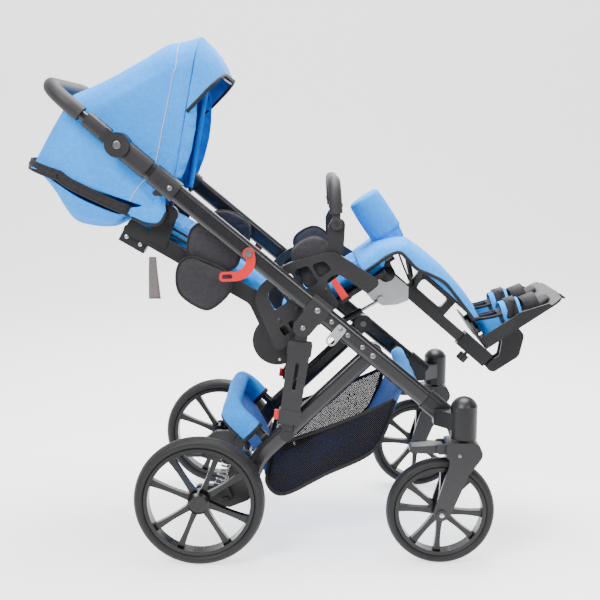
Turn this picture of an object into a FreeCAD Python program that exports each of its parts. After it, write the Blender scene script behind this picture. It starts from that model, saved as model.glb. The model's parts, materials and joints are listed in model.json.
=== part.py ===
import FreeCAD, Part
import math
import os
from FreeCAD import Vector, Placement, Rotation

os.makedirs("parts", exist_ok=True)

# Special needs stroller. Sizes in mm, X forward, Y to the left, Z up from the floor.
# While drawing, the rear axle stands at X 0; export shifts the whole to the centre of its box.
CENTRE_SHIFT = -233.8

# Widths, from the backrest outwards: its arm, the side pad, the tube and its clamp, the wheels
BACK_HALF = 150.0
ARM_T = 11.0
ARM_ROOM = 2.0
PAD_STAND = 4.0
LATERAL_T = 34.0
CLAMP_WALL = 5.0
HOOD_OVER_ARM = 27.0
CASTER_OUT = 50.0
WHEEL_OUT = 65.0
TUBE_W = 24.0
CLAMP_HALF = TUBE_W / 2.0 + CLAMP_WALL
TUBE_TRACK = 2.0 * (BACK_HALF + ARM_T + PAD_STAND + LATERAL_T + PAD_STAND + CLAMP_HALF)
FRONT_TRACK = TUBE_TRACK + 2.0 * CASTER_OUT
REAR_TRACK = TUBE_TRACK + 2.0 * WHEEL_OUT
SIDE_IN = BACK_HALF + ARM_T + ARM_ROOM
HOOD_HALF = BACK_HALF + ARM_T + HOOD_OVER_ARM

# Wheels
REAR_WHEEL_D = 300.0
REAR_TYRE_W = 44.0
REAR_TYRE_DEPTH = 24.0
REAR_HUB_R = 22.0
FRONT_WHEEL_D = 248.0
FRONT_TYRE_W = 40.0
FRONT_TYRE_DEPTH = 20.0
FRONT_HUB_R = 19.0
WHEELBASE = 550.0
CASTER_TRAIL = 50.0
AXLE_R = 6.0
SPOKE_PAIRS = 4
SPOKE_SPREAD = 18.0
SPOKE_T = 16.0

# Main tubes: a straight oval tube each side, from the caster up to the handle
TUBE_SLOPE = 39.8
TUBE_H = 42.0
TUBE_WALL = 2.0
TUBE_FOOT_X = 552.0
TUBE_FOOT_Z = 345.0
CROSS_AT = 87.0
LEG_AT = 204.0
EYE_AT = 300.0
TILT_AT = 368.7
HOOK_AT = 571.0
HANDLE_AT = 947.0
HINGE_L = 86.0
HINGE_AT = HANDLE_AT - HINGE_L
COLLAR_L = 68.0
COLLAR_ROOM = 13.0
COLLAR_AT = HINGE_AT - COLLAR_ROOM - COLLAR_L
TUBE_END = HINGE_AT + 24.0
CROSS_R = 12.5
RIVET_R = 5.5
RIVET_STEPS = (235.0, 278.5, 326.7)

# Handle
HANDLE_REACH = 208.0
HANDLE_CORNER = 78.0
HANDLE_TUBE_R = 11.0
GRIP_R = 18.5
GRIP_ROOM = 105.0
GRIP_START = HANDLE_AT + GRIP_ROOM
KNUCKLE_R = 28.0
KNUCKLE_PIN_R = 6.0
BUTTON_R = 9.0

# Rear frame
LEG_SLOPE = 43.5
LEG_STRAIGHT = 330.0
LEG_BEND_R = 150.0
LEG_BEND = 21.5
LEG_TAIL = 45.0
LEG_GAP = 2.0
LEG_PIN_R = 8.0
STRUT_FOOT = 272.0
BAR_R = 10.0
BAR_X = 70.0
BAR_Z = 338.0
BAR_FOOT_X = 146.0
BAR_FOOT_Z = 266.0
BEAM_X = 85.0
BEAM_Z = 150.0
BEAM_R = 13.0
PEDAL_BACK = 145.0
PEDAL_RISE = 36.0

# Rear suspension
SWING_X = 57.0
SWING_Z = 132.0
SWING_PIN_R = 7.0
SPRING_FOOT = (42.0, 171.0)
SPRING_TILT = 18.0
SPRING_L = 56.0
SPRING_R = 11.0
SPRING_WIRE_R = 1.7
SPRING_TURNS = 6

# Strut bracket and strut
STRUT_DROP = 52.0
STRUT_PIN_R = 5.0
STRUT_T = 18.0
TILT_PIN_R = 8.0

# Seat unit: the seat frame starts at the recline hinge and runs forward along the seat
RECLINE_X = 175.0
RECLINE_Z = 497.0
SEAT_TILT = 33.6
SIDE_T = 16.0
PAN_T = 8.0
PAD_INSET = 3.0
SEAT_HALF = BACK_HALF - PAD_INSET
SEAT_L = 302.0
SEAT_PAD_T = 50.0
BLOCK_L = 81.0
BLOCK_W = 84.0
BLOCK_H = 108.0
BUMPER_AT = (267.0, 153.0)
BUMPER_RISE = 94.0
BUMPER_LEAN = 93.7
BUMPER_FOAM_R = 15.0

# Backrest: drawn upright, X forward, Z up the back
BACK_TURN = 60.0
BACK_FACE = 57.0
BACK_TOP = 440.0
BACK_PAD_T = 58.0
RECLINE_R = 58.0
HOOD_WALL = 4.0
HOOD_ROUND = 70.0
HOOD_PIN = (135.0, 361.0)
HOOD_FOOT = 42.0
TAIL_FROM = 115.0
TAIL_TO = 326.0
TAIL_DEEP = 88.0
TAIL_HALF = HOOD_HALF - 36.0
TAIL_FLAT = HOOD_HALF - HOOD_ROUND
TAIL_PLAN = ((-TAIL_HALF, 0.5), (-TAIL_FLAT, 0.9), (0.0, 1.0), (TAIL_FLAT, 0.9), (TAIL_HALF, 0.5))
HOOD_BOWS = ((102.0, 340.0), (70.0, 352.0), (30.0, 384.0), (19.6, 408.0))
BOW_REACH = HOOD_BOWS[-1][1] - HOOD_WALL - 10.0
BOW_RISE = HOOD_BOWS[-1][0]
BOW_R = 5.0
REAR_BOW_TURN = 90.0
REAR_BOW_FOOT = 40.0
REAR_BOW_GAP = 9.0
VISOR_L = 98.0

# Leg rest
KNEE = (SEAT_L - 2.0, -32.0)
COLUMN_DROP = 40.9
COLUMN_L = 322.0
COLUMN_W = 26.0
CALF_L = 212.0
CALF_HALF = 142.0
CALF_OFF = 64.0
CALF_T = 35.0
CLAMP_L = 88.0
CLAMP_HOLD = 77.0
CLAMP_AT = COLUMN_L - CLAMP_HOLD
ANKLE_AT = CLAMP_AT + CLAMP_L + 19.0
FOOT_RISE = 80.0
FOOT_L = 216.0
FOOT_HALF = 150.0
TIP_ROOM = 2.0
TIP_DEEP = 24.0
GAS_FOOT = (118.0, -66.0)
GAS_Y = -24.0

# Clearances
RUN_FIT = 0.05
SLIP = 0.3
SEAM = 0.2
REST_GAP = 0.25
SIDE_GAP = 0.4


def outline(corners):
    """Closed outline in the side plane from (x, z, corner radius) points."""
    legs = []
    count = len(corners)
    for i in range(count):
        x, z, r = corners[i]
        here = Vector(x, 0, z)
        nxt = corners[(i + 1) % count]
        back = (Vector(corners[i - 1][0], 0, corners[i - 1][1]) - here).normalize()
        ahead = (Vector(nxt[0], 0, nxt[1]) - here).normalize()
        half = back.getAngle(ahead) / 2.0
        reach = r / math.tan(half)
        inward = (back + ahead).normalize()
        mid = here + inward * (r / math.sin(half) - r)
        legs.append((here + back * reach, mid, here + ahead * reach, r))
    edges = []
    for i in range(count):
        start, mid, end, r = legs[i]
        if r > 0:
            edges.append(Part.Arc(start, mid, end).toShape())
        follow = legs[(i + 1) % count][0]
        if (follow - end).Length > 0.01:
            edges.append(Part.makeLine(end, follow))
    return Part.Wire(edges)


def plate(corners, y0, y1):
    """Side outline thickened from y0 to y1."""
    slab = Part.Face(outline(corners)).extrude(Vector(0, y1 - y0, 0))
    slab.translate(Vector(0, y0, 0))
    return slab


def box(x0, x1, y0, y1, z0, z1):
    return Part.makeBox(x1 - x0, y1 - y0, z1 - z0, Vector(x0, y0, z0))


def pin(x, z, r, y0, y1):
    return Part.makeCylinder(r, y1 - y0, Vector(x, y0, z), Vector(0, 1, 0))


def rod(x0, x1, r, y=0.0, z=0.0):
    return Part.makeCylinder(r, x1 - x0, Vector(x0, y, z), Vector(1, 0, 0))


def oval_wire(width, height, x=0.0, y=0.0):
    """Upright oval across X: round ends, flat flanks."""
    r = width / 2.0
    flat = height / 2.0 - r
    a = Vector(x, y + r, -flat)
    b = Vector(x, y + r, flat)
    c = Vector(x, y - r, flat)
    d = Vector(x, y - r, -flat)
    top = Part.Arc(b, Vector(x, y, flat + r), c).toShape()
    low = Part.Arc(d, Vector(x, y, -flat - r), a).toShape()
    return Part.Wire([Part.makeLine(a, b), top, Part.makeLine(c, d), low])


def oval(width, height, x0, x1, y):
    return Part.Face(oval_wire(width, height, x0, y)).extrude(Vector(x1 - x0, 0, 0))


def turned(shape, degrees, x, z):
    """Turn a shape drawn in its own upright frame, then set it at a point of the side view."""
    move = Placement(Vector(x, 0, z), Rotation(Vector(0, -1, 0), degrees))
    placed = shape.copy()
    placed.Placement = move.multiply(placed.Placement)
    return placed


def turned_point(px, pz, degrees, x, z):
    c = math.cos(math.radians(degrees))
    s = math.sin(math.radians(degrees))
    return (x + px * c - pz * s, z + px * s + pz * c)


def mirrored(shape):
    return shape.mirror(Vector(0, 0, 0), Vector(0, 1, 0))


def pair(shape):
    return [shape, mirrored(shape)]


def joined(shapes):
    return shapes[0].multiFuse(shapes[1:]).removeSplitter()


def rounded(shape, radius):
    return shape.makeFillet(radius, shape.Edges)


# Places that several pieces share
TUBE_Y = TUBE_TRACK / 2.0
TUBE_OUT = TUBE_Y + TUBE_W / 2.0
TUBE_IN = TUBE_Y - TUBE_W / 2.0
LEG_Y = TUBE_IN - LEG_GAP - TUBE_W / 2.0
LEG_OUT = LEG_Y + TUBE_W / 2.0
LEG_IN = LEG_Y - TUBE_W / 2.0
REAR_Y = REAR_TRACK / 2.0
REAR_Z = REAR_WHEEL_D / 2.0
FRONT_Y = FRONT_TRACK / 2.0
FRONT_Z = FRONT_WHEEL_D / 2.0
CASTER_X = WHEELBASE + CASTER_TRAIL
TUBE_TURN = 180.0 - TUBE_SLOPE
LEG_TURN = 180.0 + LEG_SLOPE
SIDE_OUT = SIDE_IN + SIDE_T


def on_tube(shape):
    """Tube frame: X up along the tube from its foot, Z square below it."""
    return turned(shape, TUBE_TURN, TUBE_FOOT_X, TUBE_FOOT_Z)


def tube_point(station, drop=0.0):
    return turned_point(station, drop, TUBE_TURN, TUBE_FOOT_X, TUBE_FOOT_Z)


def on_seat(shape):
    return turned(shape, SEAT_TILT, RECLINE_X, RECLINE_Z)


def seat_point(s, n):
    return turned_point(s, n, SEAT_TILT, RECLINE_X, RECLINE_Z)


def in_seat(point):
    """Seat frame place of a point of the side view."""
    dx = point[0] - RECLINE_X
    dz = point[1] - RECLINE_Z
    return turned_point(dx, dz, -SEAT_TILT, 0.0, 0.0)


def on_back(shape):
    return turned(shape, BACK_TURN, RECLINE_X, RECLINE_Z)


LEG_TOP = tube_point(LEG_AT)
TILT = tube_point(TILT_AT)
STRUT_TOP = tube_point(TILT_AT, STRUT_DROP)
STRUT_LOW = turned_point(STRUT_FOOT, 0.0, LEG_TURN, LEG_TOP[0], LEG_TOP[1])
STRUT_DX = STRUT_LOW[0] - STRUT_TOP[0]
STRUT_DZ = STRUT_LOW[1] - STRUT_TOP[1]
STRUT_L = math.hypot(STRUT_DX, STRUT_DZ)
STRUT_TURN = math.degrees(math.atan2(STRUT_DZ, STRUT_DX))
KNEE_AT = seat_point(KNEE[0], KNEE[1])
ANKLE = turned_point(ANKLE_AT, 0.0, -COLUMN_DROP, KNEE_AT[0], KNEE_AT[1])
BUMPER = seat_point(BUMPER_AT[0], BUMPER_AT[1])


def on_strut(shape):
    return turned(shape, STRUT_TURN, STRUT_TOP[0], STRUT_TOP[1])


def on_leg_rest(shape):
    return turned(shape, -COLUMN_DROP, KNEE_AT[0], KNEE_AT[1])


def on_foot(shape):
    return turned(shape, SEAT_TILT, ANKLE[0], ANKLE[1])


def bent_u(start, reach, half, corner, r):
    """Round bar bent to a U in the X-Y plane, open towards the start."""
    bend = corner * (1.0 - math.sqrt(0.5))
    a = Vector(start, half, 0)
    b = Vector(reach - corner, half, 0)
    c = Vector(reach, half - corner, 0)
    m = Vector(reach - bend, half - bend, 0)
    a2 = Vector(a.x, -a.y, 0)
    b2 = Vector(b.x, -b.y, 0)
    c2 = Vector(c.x, -c.y, 0)
    m2 = Vector(m.x, -m.y, 0)
    path = Part.Wire([
        Part.makeLine(a, b),
        Part.Arc(b, m, c).toShape(),
        Part.makeLine(c, c2),
        Part.Arc(c2, m2, b2).toShape(),
        Part.makeLine(b2, a2),
    ])
    ring = Part.Wire(Part.makeCircle(r, a, Vector(1, 0, 0)))
    return path.makePipeShell([ring], True, False)


def pad_section(x, half, thick):
    """Cross section of a cushion: flat below, drawn-in sides, crowned top."""
    a = Vector(x, -half + 8, 0)
    b = Vector(x, half - 8, 0)
    c = Vector(x, half - 12, thick * 0.84)
    d = Vector(x, -half + 12, thick * 0.84)
    right = Part.Arc(b, Vector(x, half, thick * 0.42), c).toShape()
    top = Part.Arc(c, Vector(x, 0, thick), d).toShape()
    left = Part.Arc(d, Vector(x, -half, thick * 0.42), a).toShape()
    return Part.Wire([Part.makeLine(a, b), right, top, left])


def cushion(length, half, thick):
    """Cushion along X, its base at Z 0, thinner and narrower at both ends."""
    plan = (
        (0.0, 0.93, 0.55),
        (0.1, 1.0, 0.93),
        (0.5, 1.0, 1.0),
        (0.9, 1.0, 0.95),
        (1.0, 0.94, 0.6),
    )
    rings = [pad_section(length * p, half * w, thick * t) for p, w, t in plan]
    return Part.makeLoft(rings, True, False)


def biarc(p, tp, q, tq):
    """Two arcs from p to q that leave along tp and arrive along tq."""
    v = q - p
    t = tp + tq
    lead = 2.0 * (1.0 - tp.dot(tq))
    d = (-v.dot(t) + math.sqrt(v.dot(t) ** 2 + 2.0 * lead * v.dot(v) / 2.0)) / lead
    knot = (p + q + (tp - tq) * d) * 0.5
    return [tangent_arc(p, tp, knot), tangent_arc(q, tq * -1.0, knot)]


def tangent_arc(p, t, q):
    chord = q - p
    side = chord - t * chord.dot(t)
    radius = chord.dot(chord) / (2.0 * side.Length)
    centre = p + side.normalize() * radius
    middle = (p + q) * 0.5 - centre
    return Part.Arc(p, centre + middle.normalize() * radius, q).toShape()


def coil(radius, wire_r, turns, height):
    """Round-wire coil spring standing on Z 0, one unbroken tube."""
    rise = (height - 2.0 * wire_r) / turns
    steps = 4 * turns
    slope = rise / (2.0 * math.pi)
    points = []
    tangents = []
    for i in range(steps + 1):
        a = math.pi * 0.5 * i
        points.append(Vector(radius * math.cos(a), radius * math.sin(a), wire_r + slope * a))
        tangents.append(Vector(-radius * math.sin(a), radius * math.cos(a), slope).normalize())
    edges = []
    for i in range(steps):
        edges.extend(biarc(points[i], tangents[i], points[i + 1], tangents[i + 1]))
    path = Part.Wire(Part.__sortEdges__(edges))
    ring = Part.Wire(Part.makeCircle(wire_r, points[0], tangents[0]))
    fine = []
    for i in range(steps * 6 + 1):
        a = math.pi * i / 12.0
        fine.append(Vector(radius * math.cos(a), radius * math.sin(a), wire_r + slope * a))
    least = min((fine[i] - fine[j]).Length for i in range(len(fine)) for j in range(i + 12, len(fine)))
    print("spring least gap to itself %.2f mm" % (least - 2.0 * wire_r))
    return path.makePipeShell([ring], True, False)


def spoke(inner, outer, foot, waist):
    """One spoke along X with hollowed flanks."""
    mid = inner + (outer - inner) * 0.55
    up = Part.Arc(Vector(outer, 0, foot), Vector(mid, 0, waist), Vector(inner, 0, foot)).toShape()
    low = Part.Arc(Vector(inner, 0, -foot), Vector(mid, 0, -waist), Vector(outer, 0, -foot)).toShape()
    ends = [
        Part.makeLine(Vector(inner, 0, foot), Vector(inner, 0, -foot)),
        Part.makeLine(Vector(outer, 0, -foot), Vector(outer, 0, foot)),
    ]
    face = Part.Face(Part.Wire([up, ends[0], low, ends[1]]))
    bar = face.extrude(Vector(0, SPOKE_T, 0))
    bar.translate(Vector(0, -SPOKE_T / 2.0, 0))
    return bar


def wheel_rim(rim_r, width, hub_r, hub_half, phase, cap_r):
    """Rim with its spokes in pairs; the axle runs along Y through the origin, outside at +Y."""
    half = width / 2.0
    inner = rim_r - 9.0
    lip = 4.0
    ring = Part.Wire(Part.makePolygon([
        Vector(inner, -half, 0),
        Vector(inner, half, 0),
        Vector(rim_r, half, 0),
        Vector(rim_r - lip, half - 5.0, 0),
        Vector(rim_r - lip, -half + 5.0, 0),
        Vector(rim_r, -half, 0),
        Vector(inner, -half, 0),
    ]))
    barrel = Part.Face(ring).revolve(Vector(0, 0, 0), Vector(0, 1, 0), 360)
    parts = [barrel, pin(0, 0, hub_r, -hub_half, hub_half)]
    reach = inner + 3.0
    for k in range(SPOKE_PAIRS):
        for side in (-1, 1):
            angle = phase + k * 360.0 / SPOKE_PAIRS + side * SPOKE_SPREAD
            bar = spoke(hub_r * 0.6, reach, 9.0, 5.5)
            parts.append(turned(bar, angle, 0.0, 0.0))
    if cap_r > 0:
        cap = Part.makeCone(cap_r, cap_r - 6.0, 5.0, Vector(0, hub_half - 0.5, 0), Vector(0, 1, 0))
        parts.append(cap)
    wheel = joined(parts)
    open_end = hub_half + 8.0 if cap_r == 0 else hub_half - 4.0
    return wheel.cut(pin(0, 0, AXLE_R + RUN_FIT, -hub_half - 1.0, open_end))


def tyre(wheel_r, depth, width):
    """Round-shouldered tyre whose foot sits in the rim channel."""
    base = wheel_r - depth - 4.0 + SEAM
    half = width / 2.0
    foot = width / 2.0 - 9.0 - SEAM
    seat = wheel_r - depth + SEAM
    a = Vector(base, -foot, 0)
    b = Vector(base, foot, 0)
    c = Vector(seat, foot, 0)
    d = Vector(seat + depth * 0.4, half, 0)
    e = Vector(wheel_r - depth * 0.12, half * 0.55, 0)
    f = Vector(wheel_r - depth * 0.12, -half * 0.55, 0)
    g = Vector(seat + depth * 0.4, -half, 0)
    h = Vector(seat, -foot, 0)
    edges = [
        Part.makeLine(a, b),
        Part.makeLine(b, c),
        Part.Arc(c, Vector(seat + depth * 0.14, half * 0.86, 0), d).toShape(),
        Part.Arc(d, Vector(seat + depth * 0.73, half * 0.86, 0), e).toShape(),
        Part.Arc(e, Vector(wheel_r, 0, 0), f).toShape(),
        Part.Arc(f, Vector(seat + depth * 0.73, -half * 0.86, 0), g).toShape(),
        Part.Arc(g, Vector(seat + depth * 0.14, -half * 0.86, 0), h).toShape(),
        Part.makeLine(h, a),
    ]
    return Part.Face(Part.Wire(edges)).revolve(Vector(0, 0, 0), Vector(0, 1, 0), 360)


nodes = {}


# Chassis
def main_tube():
    skin = oval(TUBE_W, TUBE_H, 10.0, TUBE_END, TUBE_Y)
    bore = oval(TUBE_W - 2 * TUBE_WALL, TUBE_H - 2 * TUBE_WALL, 9.0, TUBE_END + 1.0, TUBE_Y)
    return on_tube(skin.cut(bore))


def tube_room(x0, x1):
    return oval(TUBE_W + 2 * SEAM, TUBE_H + 2 * SEAM, x0, x1, TUBE_Y)


def handle_hinge_low():
    sleeve = oval(TUBE_W + 7.0, TUBE_H + 7.0, HINGE_AT, HANDLE_AT - 20.0, TUBE_Y)
    disc = pin(HANDLE_AT, 0, KNUCKLE_R, TUBE_Y - 15.0, TUBE_Y + 1.0)
    neck = box(HANDLE_AT - 30.0, HANDLE_AT, TUBE_Y - 15.0, TUBE_Y + 1.0, -18.0, 18.0)
    body = joined([sleeve, disc, neck])
    body = body.cut(pin(HANDLE_AT, 0, KNUCKLE_R + 0.6, TUBE_Y + 1.0, TUBE_Y + 30.0))
    body = body.cut(tube_room(HINGE_AT - 1.0, TUBE_END + SEAM))
    post = pin(HANDLE_AT, 0, KNUCKLE_PIN_R, TUBE_Y - 10.0, TUBE_Y + 6.0)
    return on_tube(joined([body, post]))


def tube_collar():
    body = oval(TUBE_W + 8.0, TUBE_H + 8.0, COLLAR_AT, COLLAR_AT + COLLAR_L, TUBE_Y)
    low = TUBE_H / 2.0 + 3.0
    fin = plate([
        (COLLAR_AT + 12.0, low - 4.0, 0),
        (COLLAR_AT + 40.0, low - 4.0, 0),
        (COLLAR_AT + 44.0, low + 12.0, 4),
        (COLLAR_AT + 34.0, low + 12.0, 4),
    ], TUBE_Y - 4.0, TUBE_Y + 4.0)
    body = joined([body, fin])
    return on_tube(body.cut(tube_room(COLLAR_AT - 1.0, COLLAR_AT + COLLAR_L + 1.0)))


HOUSING_R = 30.0
HOUSING_Z = FRONT_WHEEL_D + 47.0
HOUSING_H = 67.0
CAP_RISE = 21.0
STEM_R = 9.0


def caster_housing():
    body = Part.makeCylinder(HOUSING_R, HOUSING_H, Vector(CASTER_X, FRONT_Y, HOUSING_Z))
    web = Part.Face(Part.makePolygon([
        Vector(TUBE_FOOT_X - 16.0, TUBE_Y - 16.0, HOUSING_Z + 20.0),
        Vector(TUBE_FOOT_X - 16.0, TUBE_Y + 16.0, HOUSING_Z + 20.0),
        Vector(CASTER_X - 20.0, FRONT_Y + 22.0, HOUSING_Z + 20.0),
        Vector(CASTER_X, FRONT_Y, HOUSING_Z + 20.0),
        Vector(CASTER_X + 4.0, FRONT_Y - 29.0, HOUSING_Z + 20.0),
        Vector(TUBE_FOOT_X + 14.0, TUBE_Y - 16.0, HOUSING_Z + 20.0),
        Vector(TUBE_FOOT_X - 16.0, TUBE_Y - 16.0, HOUSING_Z + 20.0),
    ])).extrude(Vector(0, 0, 38.0))
    socket = on_tube(oval(TUBE_W + 8.0, TUBE_H + 8.0, -14.0, 44.0, TUBE_Y))
    whole = joined([body, web, socket])
    whole = whole.cut(on_tube(tube_room(10.0 - SEAM, 60.0)))
    bore = Part.makeCylinder(STEM_R + RUN_FIT, HOUSING_H - 6.0, Vector(CASTER_X, FRONT_Y, HOUSING_Z))
    return whole.cut(bore)


def caster_cap():
    top = HOUSING_Z + HOUSING_H + 0.1
    foot = Vector(CASTER_X, FRONT_Y, top)
    ball_r = (HOUSING_R ** 2 + CAP_RISE ** 2) / (2.0 * CAP_RISE)
    ball = Part.makeSphere(ball_r, Vector(CASTER_X, FRONT_Y, top + 8.0 + CAP_RISE - ball_r))
    post = Part.makeCylinder(HOUSING_R, 60.0, foot)
    return post.common(ball)


def front_cross():
    x, z = tube_point(CROSS_AT)
    pipe = pin(x, z, CROSS_R, -TUBE_IN, TUBE_IN)
    return pipe.cut(pin(x, z, CROSS_R - TUBE_WALL, -TUBE_IN, TUBE_IN))


CHEEK_IN = TUBE_Y - STRUT_T / 2.0 - 0.5
CHEEK_OUT = TUBE_Y + STRUT_T / 2.0 + 0.5


def strut_bracket():
    clamp = oval(2 * CLAMP_HALF, TUBE_H + 10.0, TILT_AT - 26.0, TILT_AT + 26.0, TUBE_Y)
    cheek = [
        (TILT_AT - 23.0, 0.0, 4),
        (TILT_AT - 22.0, STRUT_DROP + 21.0, 20),
        (TILT_AT + 22.0, STRUT_DROP + 21.0, 20),
        (TILT_AT + 23.0, 0.0, 4),
    ]
    inner = plate(cheek, TUBE_Y - CLAMP_HALF, CHEEK_IN)
    outer = plate(cheek, CHEEK_OUT, TUBE_Y + CLAMP_HALF)
    axle = pin(TILT_AT, STRUT_DROP, STRUT_PIN_R, CHEEK_IN - 1.0, CHEEK_OUT + 1.0)
    whole = joined([clamp, inner, outer])
    whole = whole.cut(tube_room(TILT_AT - 40.0, TILT_AT + 40.0))
    gap_top = TUBE_H / 2.0 + 5.0 + SEAM
    whole = whole.cut(box(TILT_AT - 40.0, TILT_AT + 40.0, CHEEK_IN, CHEEK_OUT, gap_top, 90.0))
    tilt_pin = pin(TILT_AT, 0.0, TILT_PIN_R, SIDE_IN + 1.0, TUBE_Y - CLAMP_HALF + 1.0)
    return on_tube(joined([whole, axle, tilt_pin]))


def tie_down():
    body = plate([
        (EYE_AT - 12.0, -8.0, 6),
        (EYE_AT - 12.0, 46.0, 11.9),
        (EYE_AT + 12.0, 46.0, 11.9),
        (EYE_AT + 12.0, -8.0, 6),
    ], TUBE_OUT, TUBE_OUT + 4.0)
    return on_tube(body.cut(pin(EYE_AT, 34.0, 8.0, TUBE_OUT - 1.0, TUBE_OUT + 5.0)))


def stud(x, z, r, y, height):
    """Domed rivet head standing on a face at y."""
    flank = Part.makeCylinder(r, height * 0.5, Vector(x, y, z), Vector(0, 1, 0))
    crown = Part.makeCone(r, r * 0.55, height * 0.5, Vector(x, y + height * 0.5, z), Vector(0, 1, 0))
    return joined([flank, crown])


def chassis_fasteners():
    tube_x = [on_tube(stud(s, 0.0, RIVET_R, TUBE_OUT, 3.0)) for s in RIVET_STEPS if s != EYE_AT]
    eye = on_tube(stud(EYE_AT, 0.0, RIVET_R, TUBE_OUT + 4.0, 3.0))
    leg = on_tube(stud(LEG_AT, 0.0, RIVET_R + 1.0, TUBE_OUT, 3.5))
    leg_pin = pin(LEG_TOP[0], LEG_TOP[1], LEG_PIN_R, LEG_IN - 2.0, TUBE_IN)
    bracket = on_tube(stud(TILT_AT, 0.0, RIVET_R + 1.0, TUBE_Y + CLAMP_HALF, 3.0))
    pivot = on_tube(stud(TILT_AT, STRUT_DROP, RIVET_R, TUBE_Y + CLAMP_HALF, 3.0))
    hook = joined([
        pin(HOOK_AT, 0.0, STRUT_PIN_R, TUBE_OUT, TUBE_OUT + HOOK_T + 1.0),
        pin(HOOK_AT, 0.0, STRUT_PIN_R + 4.0, TUBE_OUT + HOOK_T + 0.6, TUBE_OUT + HOOK_T + 3.5),
    ])
    collar = on_tube(stud(COLLAR_AT + 18.0, 0.0, RIVET_R, TUBE_OUT + 4.0, 2.0))
    found = tube_x + [eye, leg, leg_pin, bracket, pivot, on_tube(hook), collar]
    return found + [mirrored(shape) for shape in found]


# Handle
def handle_hinge_up():
    inner = TUBE_Y + 1.0 + SLIP
    outer = TUBE_Y + 20.0
    disc = pin(HANDLE_AT, 0, KNUCKLE_R, inner, outer)
    neck = box(HANDLE_AT, HANDLE_AT + 40.0, inner, outer - 4.0, -15.0, 15.0)
    end = GRIP_START - 14.0
    sleeve = oval(30.0, 38.0, HANDLE_AT + KNUCKLE_R + 2.0, end, TUBE_Y)
    body = joined([disc, neck, sleeve])
    body = body.cut(pin(HANDLE_AT, 0, KNUCKLE_PIN_R + RUN_FIT, inner - 1.0, TUBE_Y + 7.0))
    body = body.cut(pin(HANDLE_AT, 0, BUTTON_R + SLIP, TUBE_Y + 7.0, outer + 1.0))
    body = body.cut(rod(end - 40.0, end + 1.0, HANDLE_TUBE_R + SEAM, TUBE_Y))
    return on_tube(body)


def handle_button():
    body = pin(HANDLE_AT, 0, BUTTON_R, TUBE_Y + 11.5, TUBE_Y + 22.5)
    return on_tube(body.makeFillet(2.0, [e for e in body.Edges if e.BoundBox.YMin > TUBE_Y + 20.0]))


def handle_tube():
    start = GRIP_START - 14.0 - 39.0
    return on_tube(bent_u(start, HANDLE_AT + HANDLE_REACH, TUBE_Y, HANDLE_CORNER, HANDLE_TUBE_R))


def handle_grip():
    reach = HANDLE_AT + HANDLE_REACH
    skin = bent_u(GRIP_START, reach, TUBE_Y, HANDLE_CORNER, GRIP_R)
    return on_tube(skin.cut(bent_u(GRIP_START - 1.0, reach, TUBE_Y, HANDLE_CORNER, HANDLE_TUBE_R + SEAM)))


# Rear frame
def leg_sweep(width, height, over):
    top = LEG_TOP
    turn = LEG_TURN
    a = turned_point(-over, 0.0, turn, top[0], top[1])
    b = turned_point(LEG_STRAIGHT, 0.0, turn, top[0], top[1])
    centre = turned_point(LEG_STRAIGHT, LEG_BEND_R, turn, top[0], top[1])
    arc = []
    for share in (0.5, 1.0):
        angle = turn - 90.0 + LEG_BEND * share
        arc.append(turned_point(LEG_BEND_R, 0.0, angle, centre[0], centre[1]))
    tail = turned_point(LEG_TAIL + over, 0.0, turn + LEG_BEND, arc[1][0], arc[1][1])

    def at(point):
        return Vector(point[0], LEG_Y, point[1])

    path = Part.Wire([
        Part.makeLine(at(a), at(b)),
        Part.Arc(at(b), at(arc[0]), at(arc[1])).toShape(),
        Part.makeLine(at(arc[1]), at(tail)),
    ])
    ring = turned(oval_wire(width, height, -over, LEG_Y), turn, top[0], top[1])
    return path.makePipeShell([ring], True, False)


def rear_leg():
    skin = leg_sweep(TUBE_W, TUBE_H, 0.0)
    bore = leg_sweep(TUBE_W - 2 * TUBE_WALL, TUBE_H - 2 * TUBE_WALL, 2.0)
    head = pin(LEG_TOP[0], LEG_TOP[1], TUBE_H / 2.0 + 3.0, LEG_IN, LEG_OUT)
    body = joined([skin.cut(bore), head])
    return body.cut(pin(LEG_TOP[0], LEG_TOP[1], LEG_PIN_R + RUN_FIT, LEG_IN - 1.0, LEG_OUT + 1.0))


BRACKET_IN = LEG_IN - 4.0
BRACKET_OUT = LEG_OUT + 12.0
ARM_IN = BRACKET_OUT + SIDE_GAP
ARM_OUT = ARM_IN + 17.0
SPRING_Y = ARM_IN + 13.5


def on_spring(shape):
    """Spring frame: Z along the spring from its lower seat."""
    return turned(shape, -SPRING_TILT, SPRING_FOOT[0], SPRING_FOOT[1])


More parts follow.
